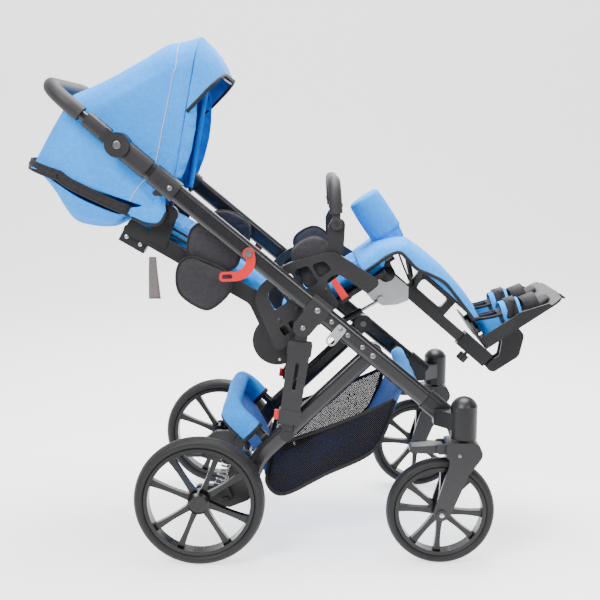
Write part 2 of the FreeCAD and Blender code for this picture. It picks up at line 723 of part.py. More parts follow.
def suspension_bracket():
    body = plate([
        (SWING_X - 22.0, SWING_Z - 8.0, 12),
        (SWING_X + 4.0, SWING_Z - 24.0, 14),
        (BEAM_X + 26.0, BEAM_Z - 22.0, 14),
        (BEAM_X + 52.0, BEAM_Z + 60.0, 10),
        (BEAM_X + 22.0, BEAM_Z + 70.0, 10),
        (BEAM_X + 2.0, BEAM_Z + 92.0, 10),
        (BEAM_X - 32.0, BEAM_Z + 90.0, 6),
        (BEAM_X - 22.0, BEAM_Z + 30.0, 20),
        (SWING_X - 14.0, SWING_Z + 14.0, 10),
    ], BRACKET_IN, BRACKET_OUT)
    seat = Part.makeCylinder(SPRING_R + 5.0, 7.0, Vector(0, SPRING_Y, SPRING_L + SEAM))
    web = box(-10.0, 12.0, BRACKET_OUT - 14.0, SPRING_Y, SPRING_L + SEAM, SPRING_L + SEAM + 7.0)
    pivot = pin(SWING_X, SWING_Z, SWING_PIN_R, BRACKET_OUT - 6.0, ARM_OUT + 1.0)
    cap = pin(SWING_X, SWING_Z, SWING_PIN_R + 3.0, ARM_OUT + SIDE_GAP, ARM_OUT + 3.5)
    body = body.cut(leg_sweep(TUBE_W + 2 * SEAM, TUBE_H + 2 * SEAM, SEAM))
    return joined([body, on_spring(joined([seat, web])), pivot, cap])


def swing_arm():
    body = plate([
        (-17.0, REAR_Z - 12.0, 12),
        (-15.0, REAR_Z + 18.0, 12),
        (24.0, REAR_Z + 18.0, 10),
        (SWING_X + 4.0, SWING_Z + 34.0, 8),
        (SWING_X + 18.0, SWING_Z - 2.0, 14),
        (SWING_X, SWING_Z - 18.0, 14),
    ], ARM_IN, ARM_OUT)
    seat = Part.makeCylinder(SPRING_R + 2.5, 6.0, Vector(0, SPRING_Y, -6.0 - SEAM))
    foot = box(-8.0, 8.0, ARM_IN, ARM_OUT, -22.0, -3.0)
    shoulder = pin(0, REAR_Z, AXLE_R + 4.0, ARM_OUT - 1.0, REAR_Y - 23.0 - SIDE_GAP)
    axle = pin(0, REAR_Z, AXLE_R, ARM_OUT - 1.0, REAR_Y + 17.0)
    whole = joined([body, on_spring(joined([seat, foot])), shoulder, axle])
    return whole.cut(pin(SWING_X, SWING_Z, SWING_PIN_R + RUN_FIT, ARM_IN - 1.0, ARM_OUT + 1.0))


def basket_bar():
    dx = BAR_X - BAR_FOOT_X
    dz = BAR_Z - BAR_FOOT_Z
    turn = math.degrees(math.atan2(dz, dx))
    half = LEG_IN - BAR_R - 1.0
    bend = bent_u(0.0, math.hypot(dx, dz), half, 45.0, BAR_R)
    whole = turned(bend, turn, BAR_FOOT_X, BAR_FOOT_Z)
    lug = pin(BAR_FOOT_X, BAR_FOOT_Z, BAR_R + 1.0, half - 5.0, LEG_IN)
    return joined([whole, lug, mirrored(lug)])


def rear_beam():
    return pin(BEAM_X, BEAM_Z, BEAM_R, -BRACKET_IN, BRACKET_IN)


def brake_pedal():
    tip_x = BEAM_X - PEDAL_BACK
    tip_z = BEAM_Z + PEDAL_RISE
    parts = []
    for y0 in (-50.0, 30.0):
        parts.append(pin(BEAM_X, BEAM_Z, BEAM_R + 6.0, y0, y0 + 20.0))
        parts.append(plate([
            (BEAM_X, BEAM_Z - 4.0, 0),
            (BEAM_X, BEAM_Z + 17.0, 0),
            (tip_x + 36.0, tip_z + 8.0, 4),
            (tip_x + 32.0, tip_z - 5.0, 4),
        ], y0, y0 + 20.0))
    tread = box(tip_x, tip_x + 46.0, -62.0, 62.0, tip_z - 5.0, tip_z + 7.0)
    parts.append(tread.makeFillet(4.0, tread.Edges))
    return joined(parts).cut(pin(BEAM_X, BEAM_Z, BEAM_R + 0.1, -60.0, 60.0))


BASKET_HALF = LEG_IN - 6.0
BASKET_WALL = 3.0
ROLL_HALF = LEG_IN - 64.0
LOOP_HALF = LEG_IN - 32.0


def basket():
    cross_x, cross_z = tube_point(CROSS_AT)
    w = BASKET_WALL
    rim_front = (cross_x - 16.0, cross_z - 22.0)
    rim_back = (BAR_FOOT_X + 20.0, BAR_FOOT_Z - 18.0)
    skin = plate([
        (rim_back[0], rim_back[1], 4),
        (148.0, 148.0, 26),
        (186.0, 126.0, 30),
        (392.0, 226.0, 40),
        (rim_front[0], rim_front[1], 4),
    ], -BASKET_HALF, BASKET_HALF)
    room = plate([
        (rim_back[0] + w, rim_back[1] + 60.0, 0),
        (rim_back[0] + w, rim_back[1], 0),
        (148.0 + w, 148.0 + w, 26 - w),
        (186.0, 126.0 + w, 30 - w),
        (392.0 - w * 0.7, 226.0 + w * 0.7, 40 - w),
        (rim_front[0] - w, rim_front[1], 0),
        (rim_front[0] - w, rim_front[1] + 60.0, 0),
    ], -BASKET_HALF + w, BASKET_HALF - w)
    roll = pin(BAR_X, BAR_Z, BAR_R + 12.0, -ROLL_HALF, ROLL_HALF)
    sheet = plate([
        (BAR_X + 2.0, BAR_Z - 18.0, 0),
        (BAR_X + 16.0, BAR_Z - 8.0, 0),
        (rim_back[0] + 5.0, rim_back[1] - 2.0, 0),
        (rim_back[0] + 1.0, rim_back[1] - 16.0, 0),
    ], -ROLL_HALF, ROLL_HALF)
    loop = pin(cross_x, cross_z, CROSS_R + 4.0, -LOOP_HALF, LOOP_HALF)
    tab = plate([
        (cross_x - 15.0, cross_z - 2.0, 0),
        (cross_x - 6.0, cross_z - 14.0, 0),
        (rim_front[0] - 10.0, rim_front[1] - 20.0, 0),
        (rim_front[0] - 15.0, rim_front[1] - 18.0, 0),
    ], -LOOP_HALF, LOOP_HALF)
    whole = joined([skin.cut(room), roll, sheet, loop, tab])
    whole = whole.cut(pin(BAR_X, BAR_Z, BAR_R + SLIP, -ROLL_HALF - 12.0, ROLL_HALF + 12.0))
    return whole.cut(pin(cross_x, cross_z, CROSS_R + SLIP, -LOOP_HALF - 10.0, LOOP_HALF + 10.0))


# Struts and fold hooks
COLLAR_END = STRUT_L - 26.0


def strut_sleeve():
    y0 = LEG_OUT + 0.8
    y1 = TUBE_OUT + 2.0
    eye = pin(0, 0, 18.0, TUBE_Y - STRUT_T / 2.0, TUBE_Y + STRUT_T / 2.0)
    neck = box(0, 40.0, TUBE_Y - STRUT_T / 2.0, TUBE_Y + STRUT_T / 2.0, -14.0, 14.0)
    cap = plate([(34, -28, 5), (34, 28, 5), (66, 28, 3), (66, -28, 3)], y0, y1)
    channel = plate([
        (62.0, -25.0, 2),
        (62.0, 25.0, 2),
        (COLLAR_END - 20.0, 22.5, 2),
        (COLLAR_END - 20.0, -22.5, 2),
    ], y0 + 1.0, y1 - 1.0)
    collar = plate([
        (COLLAR_END - 34.0, -26.0, 4),
        (COLLAR_END - 34.0, 26.0, 4),
        (COLLAR_END, 24.5, 4),
        (COLLAR_END, -24.5, 4),
    ], y0, y1)
    whole = joined([eye, neck, cap, channel, collar])
    whole = whole.cut(box(58.0, COLLAR_END + 1.0, y0 + 3.0, y1 - 3.0, -19.0, 19.0))
    whole = whole.cut(box(120.0, COLLAR_END + 1.0, y0 - 1.0, y0 + 4.0, -8.0, 8.0))
    slot = plate([(84, -4, 3.9), (84, 4, 3.9), (150, 4, 3.9), (150, -4, 3.9)], y1 - 4.0, y1 + 1.0)
    whole = whole.cut(slot)
    at = COLLAR_END - 17.0
    whole = whole.cut(box(at - 11.3, at + 11.3, TUBE_Y - 6.3, TUBE_Y + 6.3, -30.0, -18.0))
    return on_strut(whole.cut(pin(0, 0, STRUT_PIN_R + RUN_FIT, TUBE_Y - 20.0, TUBE_Y + 20.0)))


def strut_stem():
    half = STRUT_T / 2.0
    eye = pin(STRUT_L, 0, 16.0, TUBE_Y - half, TUBE_Y + half)
    bar = box(STRUT_L - 104.0, STRUT_L, TUBE_Y - half, TUBE_Y + half, -15.0, 15.0)
    whole = joined([eye, bar])
    for k in range(3):
        at = STRUT_L - 24.0 + 6.0 * k
        for z0 in (-17.0, 12.0):
            whole = whole.cut(box(at, at + 3.0, TUBE_Y - half - 1.0, TUBE_Y + half + 1.0, z0, z0 + 5.0))
    bolt = pin(STRUT_L, 0, 6.0, LEG_OUT + SLIP, TUBE_Y)
    head = pin(STRUT_L, 0, 8.0, TUBE_Y, TUBE_Y + half + 1.5)
    return on_strut(joined([whole, bolt, head]))


def strut_button():
    at = COLLAR_END - 17.0
    body = box(at - 11.0, at + 11.0, TUBE_Y - 6.0, TUBE_Y + 6.0, -36.0, -20.5)
    return on_strut(body.makeFillet(3.0, [e for e in body.Edges if e.BoundBox.ZMax < -35.0]))


HOOK_T = 6.0


def fold_hook():
    px, pz = tube_point(HOOK_AT)
    cx = px - 33.0
    cz = pz - 14.0
    y0 = TUBE_OUT + SLIP

    def at(r, angle):
        a = math.radians(angle)
        return Vector(cx + r * math.cos(a), y0, cz + r * math.sin(a))

    band = Part.Wire([
        Part.Arc(at(49, 24), at(49, -36), at(49, -97)).toShape(),
        Part.makeLine(at(49, -97), at(27, -97)),
        Part.Arc(at(27, -97), at(27, -36), at(27, 24)).toShape(),
        Part.makeLine(at(27, 24), at(49, 24)),
    ])
    thick = Vector(0, HOOK_T - SLIP, 0)
    y1 = y0 + HOOK_T - SLIP
    boss = pin(px, pz, 13.0, y0, y1)
    tip = plate([
        (cx + 2.0, cz - 27.0, 0),
        (cx - 32.0, cz - 28.0, 8),
        (cx - 34.0, cz - 50.0, 8),
        (cx + 2.0, cz - 49.0, 0),
    ], y0, y1)
    window = plate([
        (cx - 4.0, cz - 33.0, 3),
        (cx - 26.0, cz - 33.5, 3),
        (cx - 27.0, cz - 44.0, 3),
        (cx - 4.0, cz - 43.0, 3),
    ], y0 - 1.0, y1 + 1.0)
    whole = joined([Part.Face(band).extrude(thick), boss, tip]).cut(window)
    return whole.cut(pin(px, pz, STRUT_PIN_R + RUN_FIT, y0 - 1.0, y1 + 1.0))


# Front caster
LOCK_X = WHEELBASE - 3.0
LOCK_Z = FRONT_WHEEL_D + 26.0
LOCK_HALF = 18.0


def caster_fork():
    zc = FRONT_WHEEL_D
    crown = plate([
        (WHEELBASE + 8.0, zc + 42.0, 8),
        (CASTER_X + 30.0, zc + 42.0, 12),
        (CASTER_X + 42.0, zc + 14.0, 10),
        (CASTER_X + 28.0, zc + 5.5, 4),
        (WHEELBASE + 8.0, zc + 5.5, 6),
    ], FRONT_Y - 34.0, FRONT_Y + 34.0)
    blade = [
        (WHEELBASE + 10.0, zc + 40.0, 6),
        (CASTER_X + 28.0, zc + 40.0, 12),
        (CASTER_X + 42.0, zc + 14.0, 18),
        (CASTER_X + 8.0, zc - 34.0, 40),
        (WHEELBASE + 20.0, FRONT_Z - 2.0, 14),
        (WHEELBASE, FRONT_Z - 22.0, 16),
        (WHEELBASE - 20.0, FRONT_Z - 2.0, 16),
        (WHEELBASE - 12.0, FRONT_Z + 26.0, 20),
        (WHEELBASE + 16.0, zc - 8.0, 30),
    ]
    near = plate(blade, FRONT_Y + 24.5, FRONT_Y + 34.0)
    far = plate(blade, FRONT_Y - 34.0, FRONT_Y - 24.5)
    ear = [
        (LOCK_X - 10.0, LOCK_Z + 12.0, 9),
        (WHEELBASE + 15.0, LOCK_Z + 12.0, 2),
        (WHEELBASE + 15.0, LOCK_Z - 12.0, 2),
        (LOCK_X - 10.0, LOCK_Z - 12.0, 9),
    ]
    ears = [
        plate(ear, FRONT_Y + LOCK_HALF + SIDE_GAP, FRONT_Y + 24.5),
        plate(ear, FRONT_Y - 24.5, FRONT_Y - LOCK_HALF - SIDE_GAP),
    ]
    hinge = pin(LOCK_X, LOCK_Z, 3.0, FRONT_Y - 22.0, FRONT_Y + 22.0)
    stem = Part.makeCylinder(STEM_R, 90.0, Vector(CASTER_X, FRONT_Y, zc + 14.0))
    axle = pin(WHEELBASE, FRONT_Z, AXLE_R, FRONT_Y - 36.0, FRONT_Y + 36.0)
    nuts = [
        pin(WHEELBASE, FRONT_Z, AXLE_R + 5.0, FRONT_Y + 33.0, FRONT_Y + 38.0),
        pin(WHEELBASE, FRONT_Z, AXLE_R + 5.0, FRONT_Y - 38.0, FRONT_Y - 33.0),
    ]
    return joined([crown, near, far, hinge, stem, axle] + ears + nuts)


def caster_lock():
    body = plate([
        (LOCK_X + 10.0, LOCK_Z + 10.0, 9),
        (LOCK_X + 10.0, LOCK_Z - 10.0, 9),
        (LOCK_X - 30.0, LOCK_Z - 12.0, 10),
        (LOCK_X - 70.0, LOCK_Z - 10.0, 6),
        (LOCK_X - 71.0, LOCK_Z + 4.0, 6),
        (LOCK_X - 34.0, LOCK_Z + 6.0, 16),
    ], FRONT_Y - LOCK_HALF, FRONT_Y + LOCK_HALF)
    return body.cut(pin(LOCK_X, LOCK_Z, 3.0 + RUN_FIT, FRONT_Y - 30.0, FRONT_Y + 30.0))


# Seat unit, in the seat frame
TILT_S, TILT_N = in_seat(TILT)


def seat_side():
    body = plate([
        (-14.0, -22.0, 14),
        (12.0, 128.0, 52),
        (118.0, 142.0, 90),
        (228.0, 104.0, 26),
        (280.0, -18.0, 12),
        (238.0, -22.0, 8),
        (206.0, 58.0, 20),
        (174.0, 58.0, 12),
        (170.0, -8.0, 12),
    ], SIDE_IN, SIDE_OUT)
    y0 = SIDE_IN - 1.0
    y1 = SIDE_OUT + 1.0
    cells = (
        [(36, 64, 6), (40, 104, 16), (72, 114, 8), (72, 64, 6)],
        [(80, 64, 6), (80, 116, 8), (116, 120, 8), (116, 64, 6)],
        [(124, 64, 6), (124, 119, 8), (158, 110, 8), (158, 64, 6)],
        [(166, 70, 6), (166, 108, 8), (196, 98, 10), (200, 72, 6)],
    )
    for cell in cells:
        body = body.cut(plate(cell, y0, y1))
    for k in range(3):
        s0 = 22.0 + 24.0 * k
        body = body.cut(plate([(s0, 2, 4), (s0, 24, 4), (s0 + 16, 24, 4), (s0 + 16, 2, 4)], y0, y1))
    boss = pin(TILT_S, TILT_N, TILT_PIN_R + 10.0, SIDE_IN, SIDE_OUT)
    socket = plate([
        (206.0, 96.0, 8),
        (240.0, 84.0, 8),
        (BUMPER_AT[0] + 20.0, BUMPER_AT[1] - 6.0, 14),
        (BUMPER_AT[0] + 4.0, BUMPER_AT[1] + 20.0, 16),
        (BUMPER_AT[0] - 22.0, BUMPER_AT[1] + 4.0, 12),
    ], SIDE_IN, SIDE_IN + 8.0)
    body = joined([body, boss, socket])
    bumper_pin = pin(BUMPER_AT[0], BUMPER_AT[1], 5.0, SIDE_IN + 1.0, SIDE_IN + 20.0)
    recline_pin = pin(0, 0, 8.0, BACK_HALF, SIDE_IN + 1.0)
    rails = [stud(s, 39.0, RIVET_R, SIDE_OUT - 0.5, 3.0) for s in (33.0, 82.0, 164.0)]
    body = body.cut(pin(TILT_S, TILT_N, TILT_PIN_R + RUN_FIT, SIDE_IN - 1.0, SIDE_OUT + 1.0))
    return on_seat(joined([body, bumper_pin, recline_pin] + rails))


def seat_pan():
    top = -2.0
    low = top - PAN_T
    deck = box(64.0, KNEE[0], -SIDE_IN, SIDE_IN, low, top)
    back = box(12.0, 64.0, -SEAT_HALF, SEAT_HALF, low, top)
    tongue = box(KNEE[0], KNEE[0] + 36.0, -30.0, 30.0, low, top)
    parts = [deck, back, tongue]
    for side in (-1, 1):
        y0 = 20.0 if side > 0 else -28.0
        parts.append(plate([
            (KNEE[0] - 34.0, top - 2.0, 0),
            (KNEE[0] + 22.0, top - 2.0, 0),
            (KNEE[0] + 16.0, KNEE[1] - 16.0, 15.9),
            (KNEE[0] - 16.0, KNEE[1] - 16.0, 15.9),
        ], y0, y0 + 8.0))
        y0 = SIDE_IN if side > 0 else -SIDE_OUT + 1.0
        parts.append(box(176.0, 202.0, y0, y0 + SIDE_T - 1.0, low, top))
    parts.append(pin(KNEE[0], KNEE[1], 8.0, -24.0, 24.0))
    parts.append(plate([
        (GAS_FOOT[0] - 16.0, top - 2.0, 0),
        (GAS_FOOT[0] + 16.0, top - 2.0, 0),
        (GAS_FOOT[0] + 10.0, GAS_FOOT[1] - 10.0, 9),
        (GAS_FOOT[0] - 10.0, GAS_FOOT[1] - 10.0, 9),
    ], GAS_Y + 8.5, GAS_Y + 16.0))
    parts.append(pin(GAS_FOOT[0], GAS_FOOT[1], 4.0, GAS_Y - 7.0, GAS_Y + 10.0))
    return on_seat(joined(parts))


def seat_cushion():
    pad = cushion(SEAT_L, SEAT_HALF, SEAT_PAD_T)
    pad.translate(Vector(20.0, 0, -2.0 + 0.1))
    return on_seat(pad)


def hip_pad():
    pad = plate([
        (128.0, 54.0, 14),
        (136.0, 150.0, 24),
        (180.0, 166.0, 40),
        (222.0, 142.0, 24),
        (228.0, 54.0, 14),
    ], SIDE_IN - 23.0, SIDE_IN)
    edges = [e for e in pad.Edges if e.BoundBox.YMax < SIDE_IN - 22.0]
    return on_seat(pad.makeFillet(9.0, edges))


def abduction_block():
    s0 = 20.0 + SEAT_L - 10.0
    n0 = SEAT_PAD_T + 2.0
    drum = box(s0, s0 + BLOCK_L, -BLOCK_W / 2.0, BLOCK_W / 2.0, n0, n0 + BLOCK_H)
    drum = drum.makeFillet(24.0, drum.Edges)
    stem = box(s0 + 12.0, s0 + 21.0, -14.0, 14.0, -1.9, n0 + 10.0)
    return on_seat(joined([drum, stem]))


def tilt_tab():
    body = plate([
        (180.0, -2.0, 0),
        (182.0, 50.0, 5),
        (196.0, 50.0, 5),
        (198.0, -2.0, 0),
    ], SIDE_IN + 3.0, SIDE_OUT - 3.0)
    return on_seat(body)


def bumper_bar():
    half = SIDE_IN + 8.0 + SIDE_GAP + 5.0
    foam = bent_u(24.0, BUMPER_RISE, half, 46.0, BUMPER_FOAM_R)
    parts = [foam]
    for side in (-1, 1):
        y = half * side
        parts.append(pin(0, 0, 14.0, y - 5.0, y + 5.0))
        parts.append(box(0.0, 30.0, y - 5.0, y + 5.0, -9.0, 9.0))
        parts.append(rod(38.0, 46.0, BUMPER_FOAM_R + 1.5, y))
    whole = joined(parts)
    whole = whole.cut(pin(0, 0, 5.0 + RUN_FIT, -half - 10.0, half + 10.0))
    return turned(whole, BUMPER_LEAN, BUMPER[0], BUMPER[1])


# Backrest, drawn upright
def rear_bow():
    """Fixed bow the rear of the hood is sewn round, on stubs beside the hood pins."""
    half = HOOD_HALF - HOOD_WALL - BOW_R - REST_GAP
    reach = HOOD_BOWS[0][1] - HOOD_WALL - BOW_R - REAR_BOW_GAP
    bow = bent_u(REAR_BOW_FOOT, reach, half, HOOD_ROUND - HOOD_WALL - BOW_R, BOW_R)
    bow = turned(bow, REAR_BOW_TURN, HOOD_PIN[0], HOOD_PIN[1])
    foot = turned_point(REAR_BOW_FOOT, 0.0, REAR_BOW_TURN, HOOD_PIN[0], HOOD_PIN[1])
    stub = pin(foot[0], foot[1], BOW_R + 1.0, BACK_HALF + ARM_T, half + BOW_R)
    return joined([bow, stub, mirrored(stub)])


def backrest():
    parts = [box(BACK_FACE - 10.0, BACK_FACE, -BACK_HALF, BACK_HALF, 64.0, BACK_TOP)]
    for side in (-1, 1):
        y0 = BACK_HALF if side > 0 else -BACK_HALF - ARM_T
        y1 = y0 + ARM_T
        parts.append(pin(0, 0, RECLINE_R, y0, y1))
        parts.append(plate([
            (-20.0, 10.0, 10),
            (BACK_FACE - 14.0, 100.0, 30),
            (BACK_FACE - 14.0, BACK_TOP - 4.0, 8),
            (BACK_FACE + 22.0, BACK_TOP - 4.0, 8),
            (BACK_FACE + 22.0, 80.0, 30),
            (40.0, -10.0, 10),
        ], y0, y1))
        arm0 = BACK_HALF + ARM_T - 1.0 if side > 0 else -BACK_HALF - ARM_T - PAD_STAND
        parts.append(plate([
            (BACK_FACE, HOOD_PIN[1] - 30.0, 4),
            (BACK_FACE, HOOD_PIN[1] + 22.0, 4),
            (HOOD_PIN[0] - 24.0, HOOD_PIN[1] + 22.0, 4),
            (HOOD_PIN[0] - 6.5, HOOD_PIN[1] + REAR_BOW_FOOT - 8.0, 3),
            (HOOD_PIN[0] - 6.5, HOOD_PIN[1] + REAR_BOW_FOOT + 8.0, 6),
            (HOOD_PIN[0] + 12.0, HOOD_PIN[1] + REAR_BOW_FOOT + 8.0, 6),
            (HOOD_PIN[0] + 15.0, HOOD_PIN[1] + 16.0, 6),
            (HOOD_PIN[0] + 15.0, HOOD_PIN[1] - 16.0, 14),
        ], arm0, arm0 + PAD_STAND + 1.0))
        parts.append(box(44.0, 74.0, arm0, arm0 + PAD_STAND + 1.0, 186.0, 262.0))
        post = BACK_HALF + ARM_T if side > 0 else -BACK_HALF - ARM_T - 20.0
        parts.append(pin(HOOD_PIN[0], HOOD_PIN[1], 6.0, post, post + 20.0))
        lug = BACK_HALF - 42.0 if side > 0 else -BACK_HALF
        parts.append(box(20.0, BACK_FACE - 9.0, lug, lug + 42.0, 372.0, BACK_TOP - 2.0))
    parts.append(rear_bow())
    whole = joined(parts)
    return on_back(whole.cut(pin(0, 0, 8.0 + RUN_FIT, -SIDE_OUT, SIDE_OUT)))


def back_cushion():
    pad = cushion(BACK_TOP - 66.0, BACK_HALF - PAD_INSET, BACK_PAD_T)
    upright = turned(pad, 90.0, 0.0, 0.0).mirror(Vector(0, 0, 0), Vector(1, 0, 0))
    upright.translate(Vector(BACK_FACE + 0.1, 0, 66.0))
    return on_back(upright)


def lateral_pad():
    y0 = BACK_HALF + ARM_T + PAD_STAND
    pad = plate([
        (-20.0, 196.0, 34),
        (42.0, 146.0, 40),
        (168.0, 186.0, 40),
        (182.0, 270.0, 44),
        (120.0, 302.0, 50),
        (0.0, 286.0, 44),
    ], y0, y0 + LATERAL_T)
    outer = [e for e in pad.Edges if e.BoundBox.YMin > y0 + LATERAL_T - 1.0]
    return on_back(pad.makeFillet(14.0, outer))


def hood_ring(angle, reach, foot, half, corner):
    """One bow of the hood: a U with round shoulders, closed across its feet."""
    bend = corner * (1.0 - math.sqrt(0.5))
    a = Vector(foot, half, 0)
    b = Vector(reach - corner, half, 0)
    c = Vector(reach, half - corner, 0)
    m = Vector(reach - bend, half - bend, 0)
    a2 = Vector(a.x, -a.y, 0)
    b2 = Vector(b.x, -b.y, 0)
    c2 = Vector(c.x, -c.y, 0)
    m2 = Vector(m.x, -m.y, 0)
    ring = Part.Wire([
        Part.makeLine(a, b),
        Part.Arc(b, m, c).toShape(),
        Part.makeLine(c, c2),
        Part.Arc(c2, m2, b2).toShape(),
        Part.makeLine(b2, a2),
        Part.makeLine(a2, a),
    ])
    return turned(ring, angle, HOOD_PIN[0], HOOD_PIN[1])


def canopy_hood():
    w = HOOD_WALL
    skins = [hood_ring(a, r, HOOD_FOOT, HOOD_HALF, HOOD_ROUND) for a, r in HOOD_BOWS]
    outer = Part.makeLoft(skins, True, True)
    rooms = []
    last = len(HOOD_BOWS) - 1
    for i, (a, r) in enumerate(HOOD_BOWS):
        if i == 0:
            a = a - 1.2
        if i == last:
            before = HOOD_BOWS[i - 1]
            r = r + 3.0 * (r - before[1]) / (before[0] - a)
            a = a - 3.0
        rooms.append(hood_ring(a, r - w, HOOD_FOOT - 12.0, HOOD_HALF - w, HOOD_ROUND - w))
    return on_back(outer.cut(Part.makeLoft(rooms, True, True)))


def canopy_tail():
    """Cloth bulge behind the hood, drawn along its rear bow and lying on the rear wall."""
    rings = []
    for y, share in TAIL_PLAN:
        line = outline([
            (TAIL_FROM, SEAM, 2),
            (TAIL_FROM + 33.0, TAIL_DEEP * share, 24 * share),
            (TAIL_TO - 62.0, TAIL_DEEP * 0.86 * share, 36 * share),
            (TAIL_TO - 4.0, TAIL_DEEP * 0.3 * share, 8 * share),
            (TAIL_TO, SEAM, 1),
        ])
        line.translate(Vector(0, y, 0))
        rings.append(turned(line, HOOD_BOWS[0][0], HOOD_PIN[0], HOOD_PIN[1]))
    return on_back(Part.makeLoft(rings, True, True))


def canopy_bow():
    half = HOOD_HALF - HOOD_WALL - BOW_R - 3.0
    bow = bent_u(0.0, BOW_REACH, half, HOOD_ROUND, BOW_R)
    bow = turned(bow, BOW_RISE, HOOD_PIN[0], HOOD_PIN[1])
    y0 = BACK_HALF + ARM_T + PAD_STAND + SIDE_GAP
    hub = pin(HOOD_PIN[0], HOOD_PIN[1], 20.0, y0, half + BOW_R + 1.0)
    hub = hub.cut(pin(HOOD_PIN[0], HOOD_PIN[1], 6.0 + RUN_FIT, 0.0, 300.0))
    brow = turned_point(BOW_REACH, 0.0, BOW_RISE, HOOD_PIN[0], HOOD_PIN[1])
    brim = box(0.0, VISOR_L, -half + HOOD_ROUND * 0.6, half - HOOD_ROUND * 0.6, -2.0, 2.0)
    corners = [e for e in brim.Edges if e.BoundBox.ZLength > 3.0 and e.CenterOfMass.x > 10.0]
    brim = turned(brim.makeFillet(40.0, corners), 243.0, brow[0], brow[1])
    hollow = pin(HOOD_PIN[0], HOOD_PIN[1], 6.0 + RUN_FIT, -300.0, 300.0)
    whole = joined([bow, hub, mirrored(hub), brim]).cut(hollow)
    return on_back(whole)


# Leg rest, X down along the column
def leg_column():
    w = COLUMN_W / 2.0
    tube = box(0.0, COLUMN_L, -w, w, -w, w).cut(box(24.0, COLUMN_L + 1.0, -w + 2, w - 2, -w + 2, w - 2))
    eye = pin(0, 0, 19.0, -19.5, 19.5)
    sector = plate([
        (-18.0, 10.0, 8),
        (-12.0, -72.0, 10),
        (44.0, -66.0, 40),
        (82.0, -16.0, 14),
        (60.0, 12.0, 8),
    ], -19.5, -15.5)
    arm = box(56.0, 176.0, -9.0, 9.0, w - 1.0, CALF_OFF - 4.0)
    arm = arm.cut(plate([
        (76.0, w + 8.0, 8),
        (76.0, CALF_OFF - 14.0, 8),
        (156.0, CALF_OFF - 14.0, 8),
        (156.0, w + 8.0, 8),
    ], -20.0, 20.0))
    board = box(12.0, CALF_L - 12.0, -110.0, 110.0, CALF_OFF - 6.0, CALF_OFF - 0.1)
    whole = joined([tube, eye, sector, arm, board])
    return on_leg_rest(whole.cut(pin(0, 0, 8.0 + RUN_FIT, -40.0, 40.0)))


def calf_pad():
    pad = cushion(CALF_L, CALF_HALF, CALF_T)
    pad.translate(Vector(0, 0, CALF_OFF))
    return on_leg_rest(pad)


KNOB_AT = CLAMP_AT + 38.0


def foot_clamp():
    w = COLUMN_W / 2.0 + SLIP
    out = COLUMN_W / 2.0 + 6.0
    sleeve = box(CLAMP_AT, CLAMP_AT + CLAMP_L, -out, out, -out, out)
    sleeve = sleeve.cut(box(CLAMP_AT - 1.0, CLAMP_AT + CLAMP_L - 4.0, -w, w, -w, w))
    lug = pin(ANKLE_AT, 0, 16.0, -12.0, 12.0)
    neck = box(CLAMP_AT + CLAMP_L - 3.0, ANKLE_AT, -12.0, 12.0, -14.0, 14.0)
    whole = joined([sleeve, lug, neck]).cut(pin(ANKLE_AT, 0, 5.0 + RUN_FIT, -20.0, 20.0))
    hole = Part.makeCylinder(4.0 + RUN_FIT, 10.0, Vector(KNOB_AT, 0, -out - 1.0))
    return on_leg_rest(whole.cut(hole))


def clamp_knob():
    out = COLUMN_W / 2.0 + 6.0
    shaft = Part.makeCylinder(4.0, 14.0, Vector(KNOB_AT, 0, -out - 8.0))
    grip = Part.makeCylinder(13.0, 20.0, Vector(KNOB_AT, 0, -out - 26.0))
    grip = grip.makeFillet(3.0, [e for e in grip.Edges if e.BoundBox.ZLength < 0.1])
    for k in range(6):
        a = math.radians(60.0 * k)
        at = Vector(KNOB_AT + 14.5 * math.cos(a), 14.5 * math.sin(a), -out - 30.0)
        grip = grip.cut(Part.makeCylinder(4.0, 30.0, at))
    return on_leg_rest(joined([shaft, grip]))


def foot_plate():
    z = FOOT_RISE
    deck = box(3.0, 3.0 + FOOT_L, -FOOT_HALF, FOOT_HALF, z, z + 5.0)
    corners = [e for e in deck.Edges if e.BoundBox.ZLength > 4.0 and e.CenterOfMass.x > 100.0]
    parts = [deck.makeFillet(30.0, corners)]
    for side in (-1, 1):
        y0 = FOOT_HALF - 5.0 if side > 0 else -FOOT_HALF
        parts.append(plate([
            (8.0, z + 1.0, 0),
            (8.0, z + 30.0, 8),
            (120.0, z + 30.0, 30),
            (184.0, z + 12.0, 6),
            (188.0, z + 1.0, 0),
        ], y0, y0 + 5.0))
        y0 = 12.0 + SIDE_GAP if side > 0 else -20.0 - SIDE_GAP
        parts.append(plate([
            (-14.0, -14.0, 13),
            (66.0, -14.0, 24),
            (106.0, 24.0, 20),
            (98.0, z + 1.0, 0),
            (56.0, z + 1.0, 0),
            (50.0, 40.0, 16),
            (26.0, 14.0, 10),
            (-14.0, 14.0, 13),
        ], y0, y0 + 8.0))
    parts.append(box(3.0, 8.0, -FOOT_HALF + 10.0, FOOT_HALF - 10.0, z + 1.0, z + 56.0))
    parts.append(plate([
        (FOOT_L - 4.0, z + 5.0, 0),
        (FOOT_L + 8.0, z + 5.0, 3),
        (FOOT_L + 14.0, z - 12.0, 2),
        (FOOT_L + 10.0, z - 12.0, 1),
        (FOOT_L - 2.0, z, 0),
    ], -100.0, 100.0))
    parts.append(pin(0, 0, 5.0, -18.0, 18.0))
    room = COLUMN_W / 2.0 + 6.0 + TIP_ROOM
    notch = box(0.0, 3.0 + TIP_DEEP, -room, room, z - 1.0, z + 60.0)
    return on_foot(joined(parts).cut(notch))


